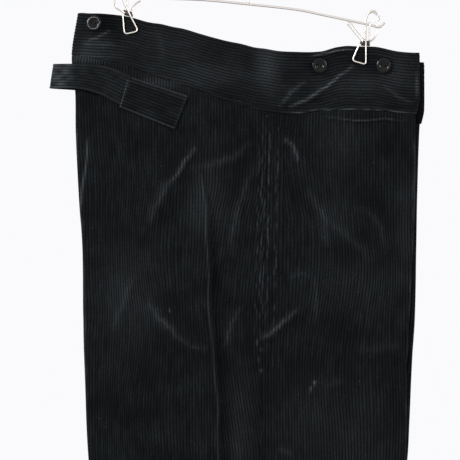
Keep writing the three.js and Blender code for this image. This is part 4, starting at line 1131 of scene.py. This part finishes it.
# %% [markdown]
# ### The back strap
# The strap's long tongue comes from the near patch, bows out past the centre back fold and lies on
# the far side, where a plain slide would take it up. It is a strip that follows a path seen from
# above and stands upright across it.

# %% The strap
STRAP = table(("x", "z", "half"), [
    (-246, -159.8, 14.6), (-211, -161.4, 15), (-185, -165.6, 17.6), (-172.8, -170.2, 19.6),
    (-150, -181, 20),
])
STRAP_THICKNESS, STRAP_HEM, LOOP_LEAN = 2.4, 0.25, 2.2
STRAP_LOOP = [(-221, 18), (-230, 13), (-239, 7.4), (-243.6, 3.6), (-244.5, 0)]
STRAP_LEAVES_X, STRAP_CLEAR_DEPTH, STRAP_GAP, STRAP_ROOT_X = -190.0, 14.6, 0.9, -162.6


def strap_depth(half, x):
    """How far out the strap lies: past the furthest cloth at five heights across it, and closer to
    it at the root, under the patch."""
    heights = np.linspace(-1, 1, 5)[:, None] * read(STRAP, "x", "half", x) + read(STRAP, "x", "z", x)
    on_band = heights > band_seam(half, x)
    under = cloth_depth(half, x + 0 * heights, heights) + np.where(on_band, BAND_THICKNESS, CLOTH) / 2
    pinned = smooth((x - STRAP_ROOT_X) / 9)
    lying = under.max(axis=0) + mix(STRAP_GAP, 0.1, pinned) + STRAP_THICKNESS / 2 - 0.4 * pinned
    return np.maximum(lying, np.where(x < STRAP_LEAVES_X, STRAP_CLEAR_DEPTH, 0))


def strap(node, path):
    """The path is a line of x and y; the strap stands on it with the height its table gives."""
    line = smooth_line(path, 12)
    length = run_length(line)
    along = edged(length[-1], 1.5)
    x, y = read_line(along, length, line).T
    reach = read(STRAP, "x", "half", x)
    v = rib_shares(30.0)
    z = read(STRAP, "x", "z", x)[:, None] + reach[:, None] * (1 - 2 * v[None])
    middle = together(x[:, None], y[:, None], z)
    heading = unit(together(np.gradient(x), np.gradient(y)))
    out = together(heading[:, 1], -heading[:, 0], 0)
    out = out if out[4, 1] * y[4] > 0 else -out
    normal = np.broadcast_to(out[:, None], middle.shape)
    out_at_back = smooth((-212 - middle[..., 0]) / 20)
    middle[..., 0] -= LOOP_LEAN * (2 * v[None] - 1) * out_at_back
    # Painted sheen on the strap, brightest on the loop that bows out round the back fold, in uneven
    # patches.
    patchy = 0.6 + 0.4 * np.sin(middle[..., 0] / 3.1 + 1.3 * np.sin(z / 4)) * np.sin(z / 2.3)
    worn = (0.34 * out_at_back + 0.05) * patchy
    across = 2 * reach[:, None] * v[None]
    strip_piece(node, middle, normal, along[:, None], across, STRAP_THICKNESS, worn, STRAP_HEM)


def lying_path(half, from_x, to_x, count):
    """Where the strap lies on one half, as points of x and y."""
    x = np.linspace(from_x, to_x, count)
    return list(zip(x, half * strap_depth(half, x)))


loop_out = [(x, -y) for x, y in STRAP_LOOP]
strap("strap_tongue", lying_path(RIGHT, -150, -212, 8) + loop_out + STRAP_LOOP[-2::-1]
      + lying_path(LEFT, -212, -198, 3))
strap("strap_short", lying_path(LEFT, -194, -150, 6))

# %% [markdown]
# ### The fly's underlap
# Between the two halves, against the centre front seam, hangs the underlap with its three buttons.
# It is hidden while the trousers are folded, but a strip costs little and fills the opening.

# %% The underlap
PLACKET_BOTTOM, PLACKET_WIDTH, PLACKET_GAP, PLACKET_THICKNESS = -378.0, 38.0, 1.4, 1.5
placket_top = float(band_seam(LEFT, BAND_FRONT_END[RIGHT])) - 2
placket_down = edged(placket_top - PLACKET_BOTTOM, 4.0)
placket_z = (placket_top - placket_down)[:, None]
placket_share = rib_shares(PLACKET_WIDTH)[None]
placket_x = centre_seam("front", placket_z) - PLACKET_GAP - PLACKET_WIDTH * (1 - placket_share)
placket_middle = together(placket_x, 0, placket_z)
strip_piece("fly_placket", placket_middle, normals_of(placket_middle, (0, 1, 0)),
            placket_down[:, None], PLACKET_WIDTH * placket_share, PLACKET_THICKNESS)

# %% [markdown]
# ## Stitching
# Work clothes are sewn with thick cotton thread, and each stitch is a small bright bead on the
# cloth. All stitches are copies of one spindle of a few faces, laid end to end along lines of the
# grids that are already there.

# %% Stitches along a line
STITCH_STEP, STITCH_LENGTH, STITCH_RADIUS = 3.2, 2.5, 0.34
SPINDLE_RINGS = [(-0.4, 0.7), (0, 1), (0.4, 0.7)]
SPINDLE_END, SPINDLE_SUNK = 0.55, -1.2
MOUTH_TACKS = [(84.0, 84.6), (86.0, 86.4), (175.4, 178.6), (178.0, 181.0)]


def stitches(line, normal):
    """Copies of a spindle of three rings of five points, which ends in two points below the cloth.
    Each copy lies along the line and stands on the normal."""
    length = run_length(line)
    at = np.arange(STITCH_STEP / 2, length[-1] - STITCH_STEP / 2, STITCH_STEP)
    centre = read_line(at, length, line)
    up = unit(read_line(at, length, normal))
    forward = unit(read_line(at + 0.5, length, line) - centre)
    sideways = unit(np.cross(forward, up))
    turn = np.radians(np.arange(0, 360, 72))
    rings = [(place, size * np.cos(a), size * np.sin(a)) for place, size in SPINDLE_RINGS for a in turn]
    local = np.array([(-SPINDLE_END, 0, SPINDLE_SUNK), *rings, (SPINDLE_END, 0, SPINDLE_SUNK)])
    points = (centre[:, None] + forward[:, None] * (local[:, :1] * STITCH_LENGTH)
              + sideways[:, None] * (local[:, 1:2] * STITCH_RADIUS)
              + up[:, None] * (local[:, 2:] * STITCH_RADIUS))
    faces = []
    for k in range(5):
        n = (k + 1) % 5
        faces.append((0, 1 + n, 1 + k))
        for ring in (1, 6):
            faces += [(ring + k, ring + n, ring + 5 + n), (ring + k, ring + 5 + n, ring + 5 + k)]
        faces.append((16, 11 + k, 11 + n))
    faces = np.array(faces)[None] + np.arange(len(at))[:, None, None] * len(local)
    return points.reshape(-1, 3), faces.reshape(-1, 3)


def grid_line(grid, rows, columns):
    """The points and normals of a grid along rows and columns, as two lists of numbers."""
    return grid["points"][rows, columns], grid["normals"][rows, columns]


def edge_lines(grid, inset):
    """Lines of stitches on a strip, this many columns in from its two long edges."""
    rows = np.arange(5, len(grid["points"]) - 5)
    last = grid["points"].shape[1] - 1
    return [grid_line(grid, rows, inset), grid_line(grid, rows, last - inset)]


# %% Sew
thread_pieces = {}
for half in (RIGHT, LEFT):
    side = HALF_NAMES[half]
    waist = grids[f"waistband_{side}"]
    rows = np.arange(14, len(waist["points"]) - 2)
    near_top = int(np.searchsorted(waist["across"][60], 0.075))
    lines = [grid_line(waist, rows, near_top), grid_line(waist, rows, waist["last"][rows] - 4)]
    patch = grids[f"strap_patch_{side}"]
    lines += edge_lines(patch, 4)
    lines += edge_lines(grids[f"pocket_edge_{side}"], 3)
    ends = np.arange(5, patch["points"].shape[1] - 5)
    lines += [grid_line(patch, 5, ends), grid_line(patch, len(patch["points"]) - 6, ends)]
    for which in ("back", "front"):
        grid = grids[f"{which}_{side}"]
        row = int(np.argmin(np.abs(grid["points"][:, grid["last"][0] - 20, 2] - HEM_TOP_Z)))
        columns = np.arange(grid["first"][row] + 1, grid["last"][row])
        lines.append(grid_line(grid, row, columns))
    for x_low, x_high in MOUTH_TACKS:
        tack_x = np.array([x_low, x_high])
        tack_z = np.array([-208.0, -217.5]) - front_drop(half, x_low)
        depth = cloth_depth(half, tack_x, tack_z) + CLOTH / 2
        tack = np.linspace(np.array([tack_x[0], half * depth[0], tack_z[0]]),
                           np.array([tack_x[1], half * depth[1], tack_z[1]]), 12)
        lines.append((tack, np.tile((0.0, half, 0.0), (12, 1))))
    lines += edge_lines(grids["strap_tongue" if half == RIGHT else "strap_short"], 5)
    thread_pieces[side] = new_object(f"stitching_{side}", *joined([stitches(*line) for line in lines]))

# %% [markdown]
# ## Buttons
# The buttons for braces are plain turned ones with a broad rim and a dished middle, sewn through
# two holes. Each is a profile turned about its axis, and the two holes are pits pressed into the
# same surface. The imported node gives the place, and its flattest direction gives the axis.

# %% Place of a round node
def node_points(name):
    """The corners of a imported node's mesh, in millimetres."""
    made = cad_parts[name]
    numbers = np.empty(3 * len(made.data.vertices))
    made.data.vertices.foreach_get("co", numbers)
    turned = np.array(made.matrix_world)
    return (numbers.reshape(-1, 3) @ turned[:3, :3].T + turned[:3, 3]) / METRE


def round_place(name, towards):
    """The middle of a flat round node and its axis: the direction in which it is thinnest."""
    points = node_points(name)
    middle = points.mean(axis=0)
    axis = np.linalg.svd(points - middle, full_matrices=False)[2][2]
    axis = axis if axis[1] * towards > 0 else -axis
    along = (points - middle) @ axis
    flat = points - middle - along[:, None] * axis
    radius = np.linalg.norm(flat, axis=1).max()
    centre = middle + axis * (along.max() + along.min()) / 2
    return centre, axis, radius, float(np.ptp(along)) / 2


# %% A sewn button
BUTTON_PROFILE = [
    (0.02, -1), (0.45, -1), (0.72, -0.98), (0.93, -0.6), (1, -0.1), (0.985, 0.45), (0.92, 0.82),
    (0.8, 1), (0.68, 0.97), (0.58, 0.8), (0.49, 0.46), (0.4, 0.1), (0.29, -0.18), (0.16, -0.34),
    (0.02, -0.38),
]
BUTTON_SIDES = 48
HOLE_AWAY, HOLE_RADIUS, HOLE_DEPTH = 0.2, 0.09, 1.1
STRAND_RADIUS, STRAND_APART = 0.3, 0.42


def button(name, node, towards):
    """The profile is turned about the axis. Near a hole the surface sinks by e to the minus fourth
    power of the distance over the hole's radius."""
    centre, axis, radius, thick = round_place(node, towards)
    profile = smooth_line(BUTTON_PROFILE, 4)
    angle = np.linspace(0, 2 * np.pi, BUTTON_SIDES, endpoint=False)[:, None]
    px, py = profile[:, 0] * np.cos(angle), profile[:, 0] * np.sin(angle)
    on_face = np.arange(len(profile)) > 10 * 4
    sink = sum(np.exp(-((np.hypot(px - hole, py) / HOLE_RADIUS) ** 4))
               for hole in (-HOLE_AWAY, HOLE_AWAY))
    height = profile[:, 1] * thick - HOLE_DEPTH * sink * on_face
    first = unit(np.cross(axis, (0.25, 0, 1.0)))
    second = np.cross(axis, first)
    points = (centre + radius * (px[..., None] * first + py[..., None] * second)
              + height[..., None] * axis)
    ids = np.arange(px.size).reshape(px.shape)
    faces = [grid_faces(np.vstack([ids, ids[:1]]))]
    flat = points.reshape(-1, 3)
    poles = []
    for column in (0, -1):
        poles.append(points[:, column].mean(axis=0))
        ring = ids[:, column]
        faces.append(together(ring, np.roll(ring, -1), px.size + len(poles) - 1))
    made = new_object(name, np.vstack([flat, poles]), np.concatenate(faces))
    return made, (centre, axis, first, radius, thick)


def button_thread(name, places):
    """Three strands a button, from one hole over to the other: a low arch with its feet in the
    holes, one beside the other."""
    t = np.linspace(-1, 1, 13)[:, None]
    strands = []
    for centre, axis, first, radius, thick in places:
        beside = np.cross(axis, first)
        arch = -1.5 * t**4 - 0.1 * thick + 0.55
        over = centre + first * (t * HOLE_AWAY * radius) + axis * arch
        strands += [tube(over + beside * shift, STRAND_RADIUS, 6, beside)
                    for shift in (-STRAND_APART, 0, STRAND_APART)]
    return new_object(name, *joined(strands))


# %% [markdown]
# ## Wires
# A bent wire is a circle carried along a smooth line. The frame of the circle stays square to one
# fixed direction that the wire never points in, so it does not twist, and each end closes in a
# small dome.

# %% A tube along a line
def tube(line, radius, sides, across):
    """Rings of points round the line. Before the first and after the last point, smaller rings
    step out along a quarter circle to close the end."""
    line = np.asarray(line, dtype=float)
    heading = unit(np.gradient(line, axis=0))
    dome = np.radians([88, 60, 30])
    sizes = np.concatenate([np.cos(dome), np.ones(len(line)), np.cos(dome[::-1])]) * radius
    before = line[0] - heading[0] * (radius * np.sin(dome))[:, None]
    after = line[-1] + heading[-1] * (radius * np.sin(dome[::-1]))[:, None]
    line = np.vstack([before, line, after])
    heading = np.vstack([np.repeat(heading[:1], 3, 0), heading, np.repeat(heading[-1:], 3, 0)])
    side = unit(np.cross(heading, across))
    up = np.cross(side, heading)
    angle = np.linspace(0, 2 * np.pi, sides, endpoint=False)
    ring = (np.cos(angle)[None, :, None] * side[:, None] + np.sin(angle)[None, :, None] * up[:, None])
    points = line[:, None] + ring * sizes[:, None, None]
    ids = np.arange(points[..., 0].size).reshape(points.shape[:2])
    faces = [grid_faces(np.hstack([ids, ids[:, :1]]))]
    for row in (0, -1):
        faces.append(together(ids[row, 0], ids[row, 1:-1], ids[row, 2:]))
    return points.reshape(-1, 3), np.concatenate(faces)


def wire(name, lines, radius, across, sides=14):
    """One piece of wire, or several that are joined, as one mesh."""
    return new_object(name, *joined([tube(line, radius, sides, across) for line in lines]))


# %% The buttons
BUTTON_NODES = {f"button_{place}_{side}": half for place in ("back", "side_front", "front")
                for half, side in HALF_NAMES.items()}
BUTTON_NODES |= {node: LEFT for node in ("fly_button_1", "fly_button_2", "fly_button_3",
                                         "waist_button")}
button_pieces, button_places = {}, []
for node, towards in BUTTON_NODES.items():
    button_pieces[node], place = button(f"{node}_turned", node, towards)
    button_places.append(place)
thread_pieces["buttons"] = button_thread("button_thread", button_places)
print(len(button_pieces), "buttons of", round(2 * float(button_places[0][3]), 1), "mm")

# %% [markdown]
# ## The hanger
# The hook is bent from thicker wire than the bar, and the clips from thinner. Each clip is one
# wire that goes down one side of its jaw, along the bottom and up again into the grip, twice, with
# a coil spring between the two jaws and a bail over the bar.

# %% Hook and bar
RAIL_HOOK_RADIUS, HOOK_WIRE, BAR_WIRE, CLIP_WIRE, BAIL_WIRE = 16.0, 1.6, 1.4, 1.0, 0.9
HANDLE_WIRE, COIL_WIRE, WIRE_GAP = 0.95, 0.75, 0.3
SIDEWAYS = (0, 1, 0)


def upright(points, y=0.0):
    """Points of x and z, as points of x, y and z."""
    points = np.asarray(points, dtype=float)
    return together(points[:, 0], y, points[:, 1])


def arc(radius, centre, degrees):
    """Points on a circle at these angles."""
    angle = np.radians(degrees)
    return together(centre[0] + radius * np.cos(angle), centre[1] + radius * np.sin(angle))


hook_shank = [(-9.4, -71.7), (-8.2, -60), (-5.4, -48), (4, -40.5), (12.5, -31)]
hook_round = arc(RAIL_HOOK_RADIUS + HOOK_WIRE, (0, -RAIL_HOOK_RADIUS), [-15, 20, 55, 90, 125, 160, 195])
hook_line = smooth_line(upright(np.vstack([hook_shank, hook_round])), 10)
bar_line = smooth_line(upright([
    (-172, -58), (-166, -63.5), (-154.8, -64.8), (-108, -66.6), (-62.5, -68.4), (-11.2, -73.3),
    (52.8, -80.6), (76.8, -85.6), (137.3, -98.4), (148, -100.8), (154, -96),
]), 10)
wire_pieces = {
    "hanger_hook": wire("hanger_hook_wire", [hook_line], HOOK_WIRE, SIDEWAYS, 20),
    "hanger_bar": wire("hanger_bar_wire", [bar_line], BAR_WIRE, SIDEWAYS, 20),
}

# %% Clips
JAW_DEPTH = PINCHED_DEPTH + BAND_THICKNESS / 2 + WIRE_GAP + CLIP_WIRE
JAW_LEAN, JAW_LEANS_ABOVE = 0.16, 4.0
BARREL_LENGTH, COIL_TURNS = 12.0, 7


def jaw_line(clip, side):
    """The jaw lies flat on the band and leans away from it above the spring."""
    x, z = np.array(clip["jaw"]).T
    lean = JAW_LEAN * np.maximum(0, z - clip["barrel"][1] - JAW_LEANS_ABOVE)
    return smooth_line(together(x, side * (JAW_DEPTH + lean), z), 10)


def bail_line(clip):
    """Up one side of the bar, over it and down the other."""
    x, foot, bar = clip["bail"]
    radius = BAR_WIRE + WIRE_GAP + BAIL_WIRE
    leg = mix(foot, bar, 0.6)
    y, z = np.vstack([[(-radius, foot), (-radius, leg)], arc(radius, (0, bar), [180, 135, 90, 45, 0]),
                      [(radius, leg), (radius, foot)]]).T
    return smooth_line(together(x, y, z), 8)


def coil_line(clip):
    """A helix about the barrel's axis, which lies level and turned a little."""
    x, z, turn = clip["barrel"]
    t = np.linspace(0, 1, COIL_TURNS * 20)
    angle = 2 * np.pi * COIL_TURNS * t
    radius = JAW_DEPTH - CLIP_WIRE - WIRE_GAP - COIL_WIRE
    along = (t - 0.5) * (BARREL_LENGTH - 2 * COIL_WIRE)
    y, up = radius * np.cos(angle), radius * np.sin(angle)
    return together(x + along * np.cos(turn), y, z + up - along * np.sin(turn))


spring_pieces, handle_pieces = {}, {}
for name, clip in CLIPS.items():
    for label, side in (("front", -1), ("rear", 1)):
        node = f"clip_{name}_{label}_jaw"
        wire_pieces[node] = wire(f"{node}_wire", [jaw_line(clip, side)], CLIP_WIRE, SIDEWAYS)
    node = f"clip_{name}_bail"
    wire_pieces[node] = wire(f"{node}_wire", [bail_line(clip)], BAIL_WIRE, (1, 0, 0), 12)
    node = f"clip_{name}_spring"
    axis = (np.cos(clip["barrel"][2]), 0, -np.sin(clip["barrel"][2]))
    spring_pieces[node] = wire(f"{node}_coil", [coil_line(clip)], COIL_WIRE, axis, 10)
    handles = [smooth_line(np.array(points)[:, [0, 2, 1]], 10) for points in clip["handles"]]
    handle_pieces[name] = wire(f"clip_{name}_handles", handles, HANDLE_WIRE, SIDEWAYS, 10)

# %% [markdown]
# ## The slide
# A plain slide takes the strap up on the far side: a frame of flat wire with a bar in the middle.
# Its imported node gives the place.

# %% The slide
low, high = (np.array(corner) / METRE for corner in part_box("strap_slide"))
slide_radius = (high[1] - low[1]) / 2
slide_y = (low[1] + high[1]) / 2
left, right = low[0] + slide_radius, high[0] - slide_radius
bottom, top = low[2] + slide_radius, high[2] - slide_radius
rim = [(left + 4, bottom), (right - 2, bottom), (right, bottom + 2), (right, top - 2), (right - 2, top),
       (left + 2, top), (left, top - 2), (left, bottom + 2), (left + 2, bottom), (left + 4, bottom)]
centre_x = (left + right) / 2
slide_lines = [smooth_line(upright(rim, slide_y), 6),
               upright(np.linspace((centre_x, bottom), (centre_x, top), 12), slide_y)]
slide_piece = wire("strap_slide_wire", slide_lines, slide_radius, SIDEWAYS, 14)

# %% [markdown]
# ## Materials
# Colours are hex values as a painter would pick them, and one function turns them to the linear
# numbers that the shader takes. One more function adds a node with its settings and links.

# %% Colour and nodes
COLOUR_A, COLOUR_B, COLOUR_OUT = 6, 7, 2


def linear(hex_colour):
    """An sRGB hex value as linear red, green, blue and full opacity."""
    parts = np.array([int(hex_colour[k:k + 2], 16) for k in (1, 3, 5)]) / 255
    dark, light = parts / 12.92, ((parts + 0.055) / 1.055) ** 2.4
    return (*np.where(parts <= 0.04045, dark, light).tolist(), 1.0)


def fill(tree, node, inputs):
    """Fills a node's inputs. A value is a number, a colour, or another node's output to link."""
    for name, value in inputs.items():
        if isinstance(value, bpy.types.NodeSocket):
            tree.links.new(value, node.inputs[name])
        else:
            node.inputs[name].default_value = value


def add_node(tree, kind, inputs=None, **settings):
    """One shader node with its settings and links."""
    made = tree.nodes.new("ShaderNode" + kind)
    for name, value in settings.items():
        setattr(made, name, value)
    fill(tree, made, inputs or {})
    return made.outputs


def new_material(name):
    """An empty material, its tree, and its Principled shader."""
    made = bpy.data.materials.new(name)
    made.use_nodes = True
    return made, made.node_tree, made.node_tree.nodes["Principled BSDF"]


# %% [markdown]
# ### Black cotton corduroy
# Cut cotton pile dyed black takes in most light from straight ahead and shines softly at a grazing
# angle, which sheen gives. The grooves are painted deeper black than the tops of the ribs, as
# painted shade, and the pile lies in short streaks along the rib. Creases, rims, seams and a few
# patches carry a painted highlight that lightens the rib tops, where the pile is also a little
# rubbed, and a few pale fibres of lint sit on it. The cloth's own map, in metres across and along
# the ribs, and the pieces' own attributes carry these, so they follow the cloth.

# %% Corduroy
LINT_PATCH = 1000 / 38
# Columns: name, the coordinates it reads, its size along them in millimetres, and its detail.
CLOTH_NOISES = [
    ("pile", "uv", (0.45, 3.2, 1000), 3), ("along_rib", "uv", (RIB_PITCH, 26, 1000), 2),
    ("nap", "place", (34, 34, 34), 2), ("lint", "place", (1.1, 1.1, 1.1), 1),
    ("lint_patch", "place", (LINT_PATCH, LINT_PATCH, LINT_PATCH), 1),
]
# Columns: name, what it stretches, from and to, and the two values that these become.
CLOTH_RANGES = [
    ("streak", "pile", 0.3, 0.7, 0, 0.7), ("taller", "along_rib", 0.3, 0.7, 0, 1),
    ("lying", "nap", 0.38, 0.64, 0, 0.62), ("grainy", "pile", 0.3, 0.7, 0.5, 1.3),
    ("fibre", "lint", 0.75, 0.79, 0, 0.5), ("there", "lint_patch", 0.6, 0.66, 0, 1),
]
CLOTH_PRODUCTS = {
    "streaked": ("streak", "taller", "rib"), "painted_sheen_and_rubbed": ("worn", "grainy", "rib"),
    "linted": ("fibre", "there"), "relief": ("pile", "rib"),
}
# The black of the grooves, and the lighter colour of the rib tops over it, are painted shade in the
# grooves. The pale layer from the wear attribute is painted highlight and sheen along creases, rims and
# edges, with a little real wear of the pile.
GROOVE_SHADE = "#060607"
CLOTH_LAYERS = {
    "rib": "#101213", "streaked": "#2f3437", "lying": "#090a0b", "painted_sheen_and_rubbed": "#6b7075",
    "linted": "#8c9296", "wrong_side": "#0d0e0f",
}
RIB_TOP_ROUND = 0.8


def corduroy_material():
    """Every pattern is a value by name. Products of some of them say how much of each colour lies
    over the painted shade of the grooves."""
    made, tree, shader = new_material("black_cotton_corduroy")
    value = {name: add_node(tree, "Attribute", attribute_name=name)["Fac"]
             for name in ("worn", "wrong_side")}
    value["uv"] = add_node(tree, "UVMap", uv_map="cloth")["UV"]
    value["place"] = add_node(tree, "TexCoord")["Object"]
    rib = add_node(tree, "SeparateXYZ", {0: value["uv"]})["X"]
    for operation, second in (("MULTIPLY", np.pi / (RIB_PITCH * METRE)), ("SINE", 0),
                              ("ABSOLUTE", 0), ("POWER", RIB_TOP_ROUND)):
        rib = add_node(tree, "Math", {0: rib, 1: second}, operation=operation)[0]
    value["rib"] = rib
    for name, source, size, detail in CLOTH_NOISES:
        scale = [1 / (along * METRE) for along in size]
        scaled = add_node(tree, "Mapping", {"Vector": value[source], "Scale": scale})["Vector"]
        inputs = {"Vector": scaled, "Scale": 1, "Detail": detail}
        value[name] = add_node(tree, "TexNoise", inputs)["Fac"]
    for name, source, low, high, at_low, at_high in CLOTH_RANGES:
        value[name] = add_node(tree, "MapRange", {
            "Value": value[source], "From Min": low, "From Max": high, "To Min": at_low,
            "To Max": at_high})[0]
    for name, (first, *others) in CLOTH_PRODUCTS.items():
        value[name] = value[first]
        for other in others:
            value[name] = add_node(tree, "Math", {0: value[name], 1: value[other]},
                                   operation="MULTIPLY")[0]
    colour = linear(GROOVE_SHADE)
    for name, over in CLOTH_LAYERS.items():
        colour = add_node(tree, "Mix", {"Factor": value[name], COLOUR_A: colour,
                                        COLOUR_B: linear(over)}, data_type="RGBA")[COLOUR_OUT]
    bump = add_node(tree, "Bump", {"Height": value["relief"], "Strength": 0.55,
                                   "Distance": 0.35 * METRE})["Normal"]
    fill(tree, shader, {
        "Base Color": colour, "Normal": bump, "Roughness": 0.92, "Specular IOR Level": 0.05,
        "Sheen Weight": 0.16, "Sheen Roughness": 0.3, "Sheen Tint": linear("#c9d2d8")})
    return made


corduroy = corduroy_material()

# %% [markdown]
# ### Thread, button and wire
# The thread is black glazed cotton, a little shinier than the cloth. The buttons are turned from
# black-brown horn and polished, so they show a soft grain and sharp glints. The wire is bright
# nickel-plated steel with faint drawing lines and painted shade where it turns away from the view,
# and the springs are lacquered a warm grey with the same painted shade. One function makes all
# four from their grain, colours and gloss.

# %% Fine-grained finishes
EDGE_ROUND = 1.4


def fine_finish(name, grains, dull, bright, rough, relief, settings, edge=None):
    """Colour and relief follow the first grain, and gloss the last. A grain is how often it repeats
    in a metre along each axis, and its detail. Relief is a strength and a depth in millimetres.
    The edge colour, if given, is painted shade where the surface turns away from the view."""
    made, tree, shader = new_material(name)
    place = add_node(tree, "TexCoord")["Object"]
    noises = []
    for per_metre, detail in grains:
        scaled = add_node(tree, "Mapping", {"Vector": place, "Scale": per_metre})["Vector"]
        inputs = {"Vector": scaled, "Scale": 1, "Detail": detail}
        noises.append(add_node(tree, "TexNoise", inputs)["Fac"])
    colour = add_node(tree, "Mix", {"Factor": noises[0], COLOUR_A: linear(dull),
                                    COLOUR_B: linear(bright)}, data_type="RGBA")[COLOUR_OUT]
    # Painted shade: the colour darkens where the surface turns away from the view.
    if edge:
        away = add_node(tree, "LayerWeight", {"Blend": 0.5})["Facing"]
        away = add_node(tree, "Math", {0: away, 1: EDGE_ROUND}, operation="POWER")[0]
        colour = add_node(tree, "Mix", {"Factor": away, COLOUR_A: colour, COLOUR_B: linear(edge)},
                          data_type="RGBA")[COLOUR_OUT]
    gloss = add_node(tree, "MapRange", {"Value": noises[-1], "To Min": rough[0], "To Max": rough[1]})[0]
    bump = add_node(tree, "Bump", {"Height": noises[0], "Strength": relief[0],
                                   "Distance": relief[1] * METRE})["Normal"]
    fill(tree, shader, {"Base Color": colour, "Roughness": gloss, "Normal": bump, **settings})
    return made


thread = fine_finish("black_glazed_cotton_thread", [((2400, 2400, 2400), 2)], "#0b0c0d", "#1b1e20",
                     (0.6, 0.6), (0.4, 0.1), {"Specular IOR Level": 0.2})
horn = fine_finish("polished_black_horn", [((180, 180, 900), 3), ((900, 900, 900), 2)], "#080808",
                   "#171614", (0.07, 0.16), (0.15, 0.1), {"IOR": 1.5, "Specular IOR Level": 0.18})
DRAWN_STEEL, DRAWN_RELIEF = [((700, 700, 700), 3)], (0.12, 0.05)
nickel = fine_finish("nickel_plated_steel_wire", DRAWN_STEEL, "#dcd5cc", "#f4efe9", (0.22, 0.36),
                     DRAWN_RELIEF, {"Metallic": 1.0}, "#5c5046")
lacquered = fine_finish("lacquered_spring_steel", DRAWN_STEEL, "#3d322d", "#6e5f57", (0.3, 0.5),
                        DRAWN_RELIEF, {"Metallic": 0.6}, "#1c1613")

# %% [markdown]
# ## Fit the pieces to the frame
# Every piece rides on the one body and gets its material, and most take the place of their
# imported node.


# %% Dress the frame
# Columns: pieces by node, slot, material, and whether each takes its node's place.
for pieces, slot_name, material, takes_place in (
        (cloth_pieces, "corduroy", corduroy, True), (thread_pieces, "corduroy", thread, False),
        (button_pieces, "button", horn, True), (wire_pieces, "hanger_wire", nickel, True),
        (handle_pieces, "hanger_wire", nickel, False), (spring_pieces, "clip_spring", lacquered, True),
        ({"strap_slide": slide_piece}, "strap_slide", nickel, True)):
    for node, made in pieces.items():
        made.data.materials.append(material)
        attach(made, "root")
        if takes_place:
            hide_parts(node)

# %% [markdown]
# ## Floor, light and camera
# The photo is lit softly from the front and a little from the left, against white. A pale world
# gives the white and fills the shadows, two broad lamps give the pile its sheen, and a small one
# gives the buttons their glints. The camera stands three metres away with a long lens, level with
# the middle of what the photo shows.

# %% Floor
FLOOR_Z = -1.33
floor_mesh = bpy.data.meshes.new("floor")
floor_corners = [(x, y, FLOOR_Z) for x, y in ((-3, -3), (3, -3), (3, 3), (-3, 3))]
floor_mesh.from_pydata(floor_corners, [], [(0, 1, 2, 3)])
floor = bpy.data.objects.new("floor", floor_mesh)
bpy.context.scene.collection.objects.link(floor)
floor_material, floor_tree, floor_shader = new_material("pale_studio_floor")
fill(floor_tree, floor_shader, {"Base Color": linear("#ececee"), "Roughness": 0.9})
floor_mesh.materials.append(floor_material)

# %% Light
ROOM_SHADE = 0.3
scene = bpy.context.scene
world = bpy.data.worlds.new("white_studio")
world.use_nodes = True
sky = world.node_tree.nodes["Background"]
sky.inputs["Color"].default_value = linear("#fafafc")
ray = add_node(world.node_tree, "LightPath")
seen = add_node(world.node_tree, "Math", {0: ray["Is Camera Ray"], 1: ray["Is Glossy Ray"]},
                operation="MAXIMUM")[0]
shade = add_node(world.node_tree, "MapRange", {"Value": seen, "To Min": ROOM_SHADE, "To Max": 1.0})[0]
world.node_tree.links.new(shade, sky.inputs["Strength"])
scene.world = world
scene.view_settings.view_transform = "Standard"


def lamp(name, place, target, size, power):
    """A square area light that looks at a point."""
    data = bpy.data.lights.new(name, "AREA")
    data.size = size
    data.energy = power
    made = bpy.data.objects.new(name, data)
    made.location = place
    made.rotation_euler = (Vector(target) - Vector(place)).to_track_quat("-Z", "Y").to_euler()
    scene.collection.objects.link(made)


lamp("key", (-2.2, -1.5, 1.0), (0, 0, -0.35), 0.6, 61)
lamp("fill", (2.2, -1.3, 0.7), (0, 0, -0.35), 0.8, 26)
lamp("glint", (-1.3, -2.5, 0.5), (0, 0, -0.2), 0.26, 13)

# %% Camera
PHOTO_WIDTH = 0.552
CAMERA_DISTANCE = 3.0
camera_data = bpy.data.cameras.new("camera")
camera_data.sensor_width = 36.0
camera_data.lens = camera_data.sensor_width * CAMERA_DISTANCE / PHOTO_WIDTH
camera = bpy.data.objects.new("camera", camera_data)
camera.location = (-0.0312, -CAMERA_DISTANCE, -0.3444)
camera.rotation_euler = (np.pi / 2, 0, 0)
scene.collection.objects.link(camera)
scene.camera = camera
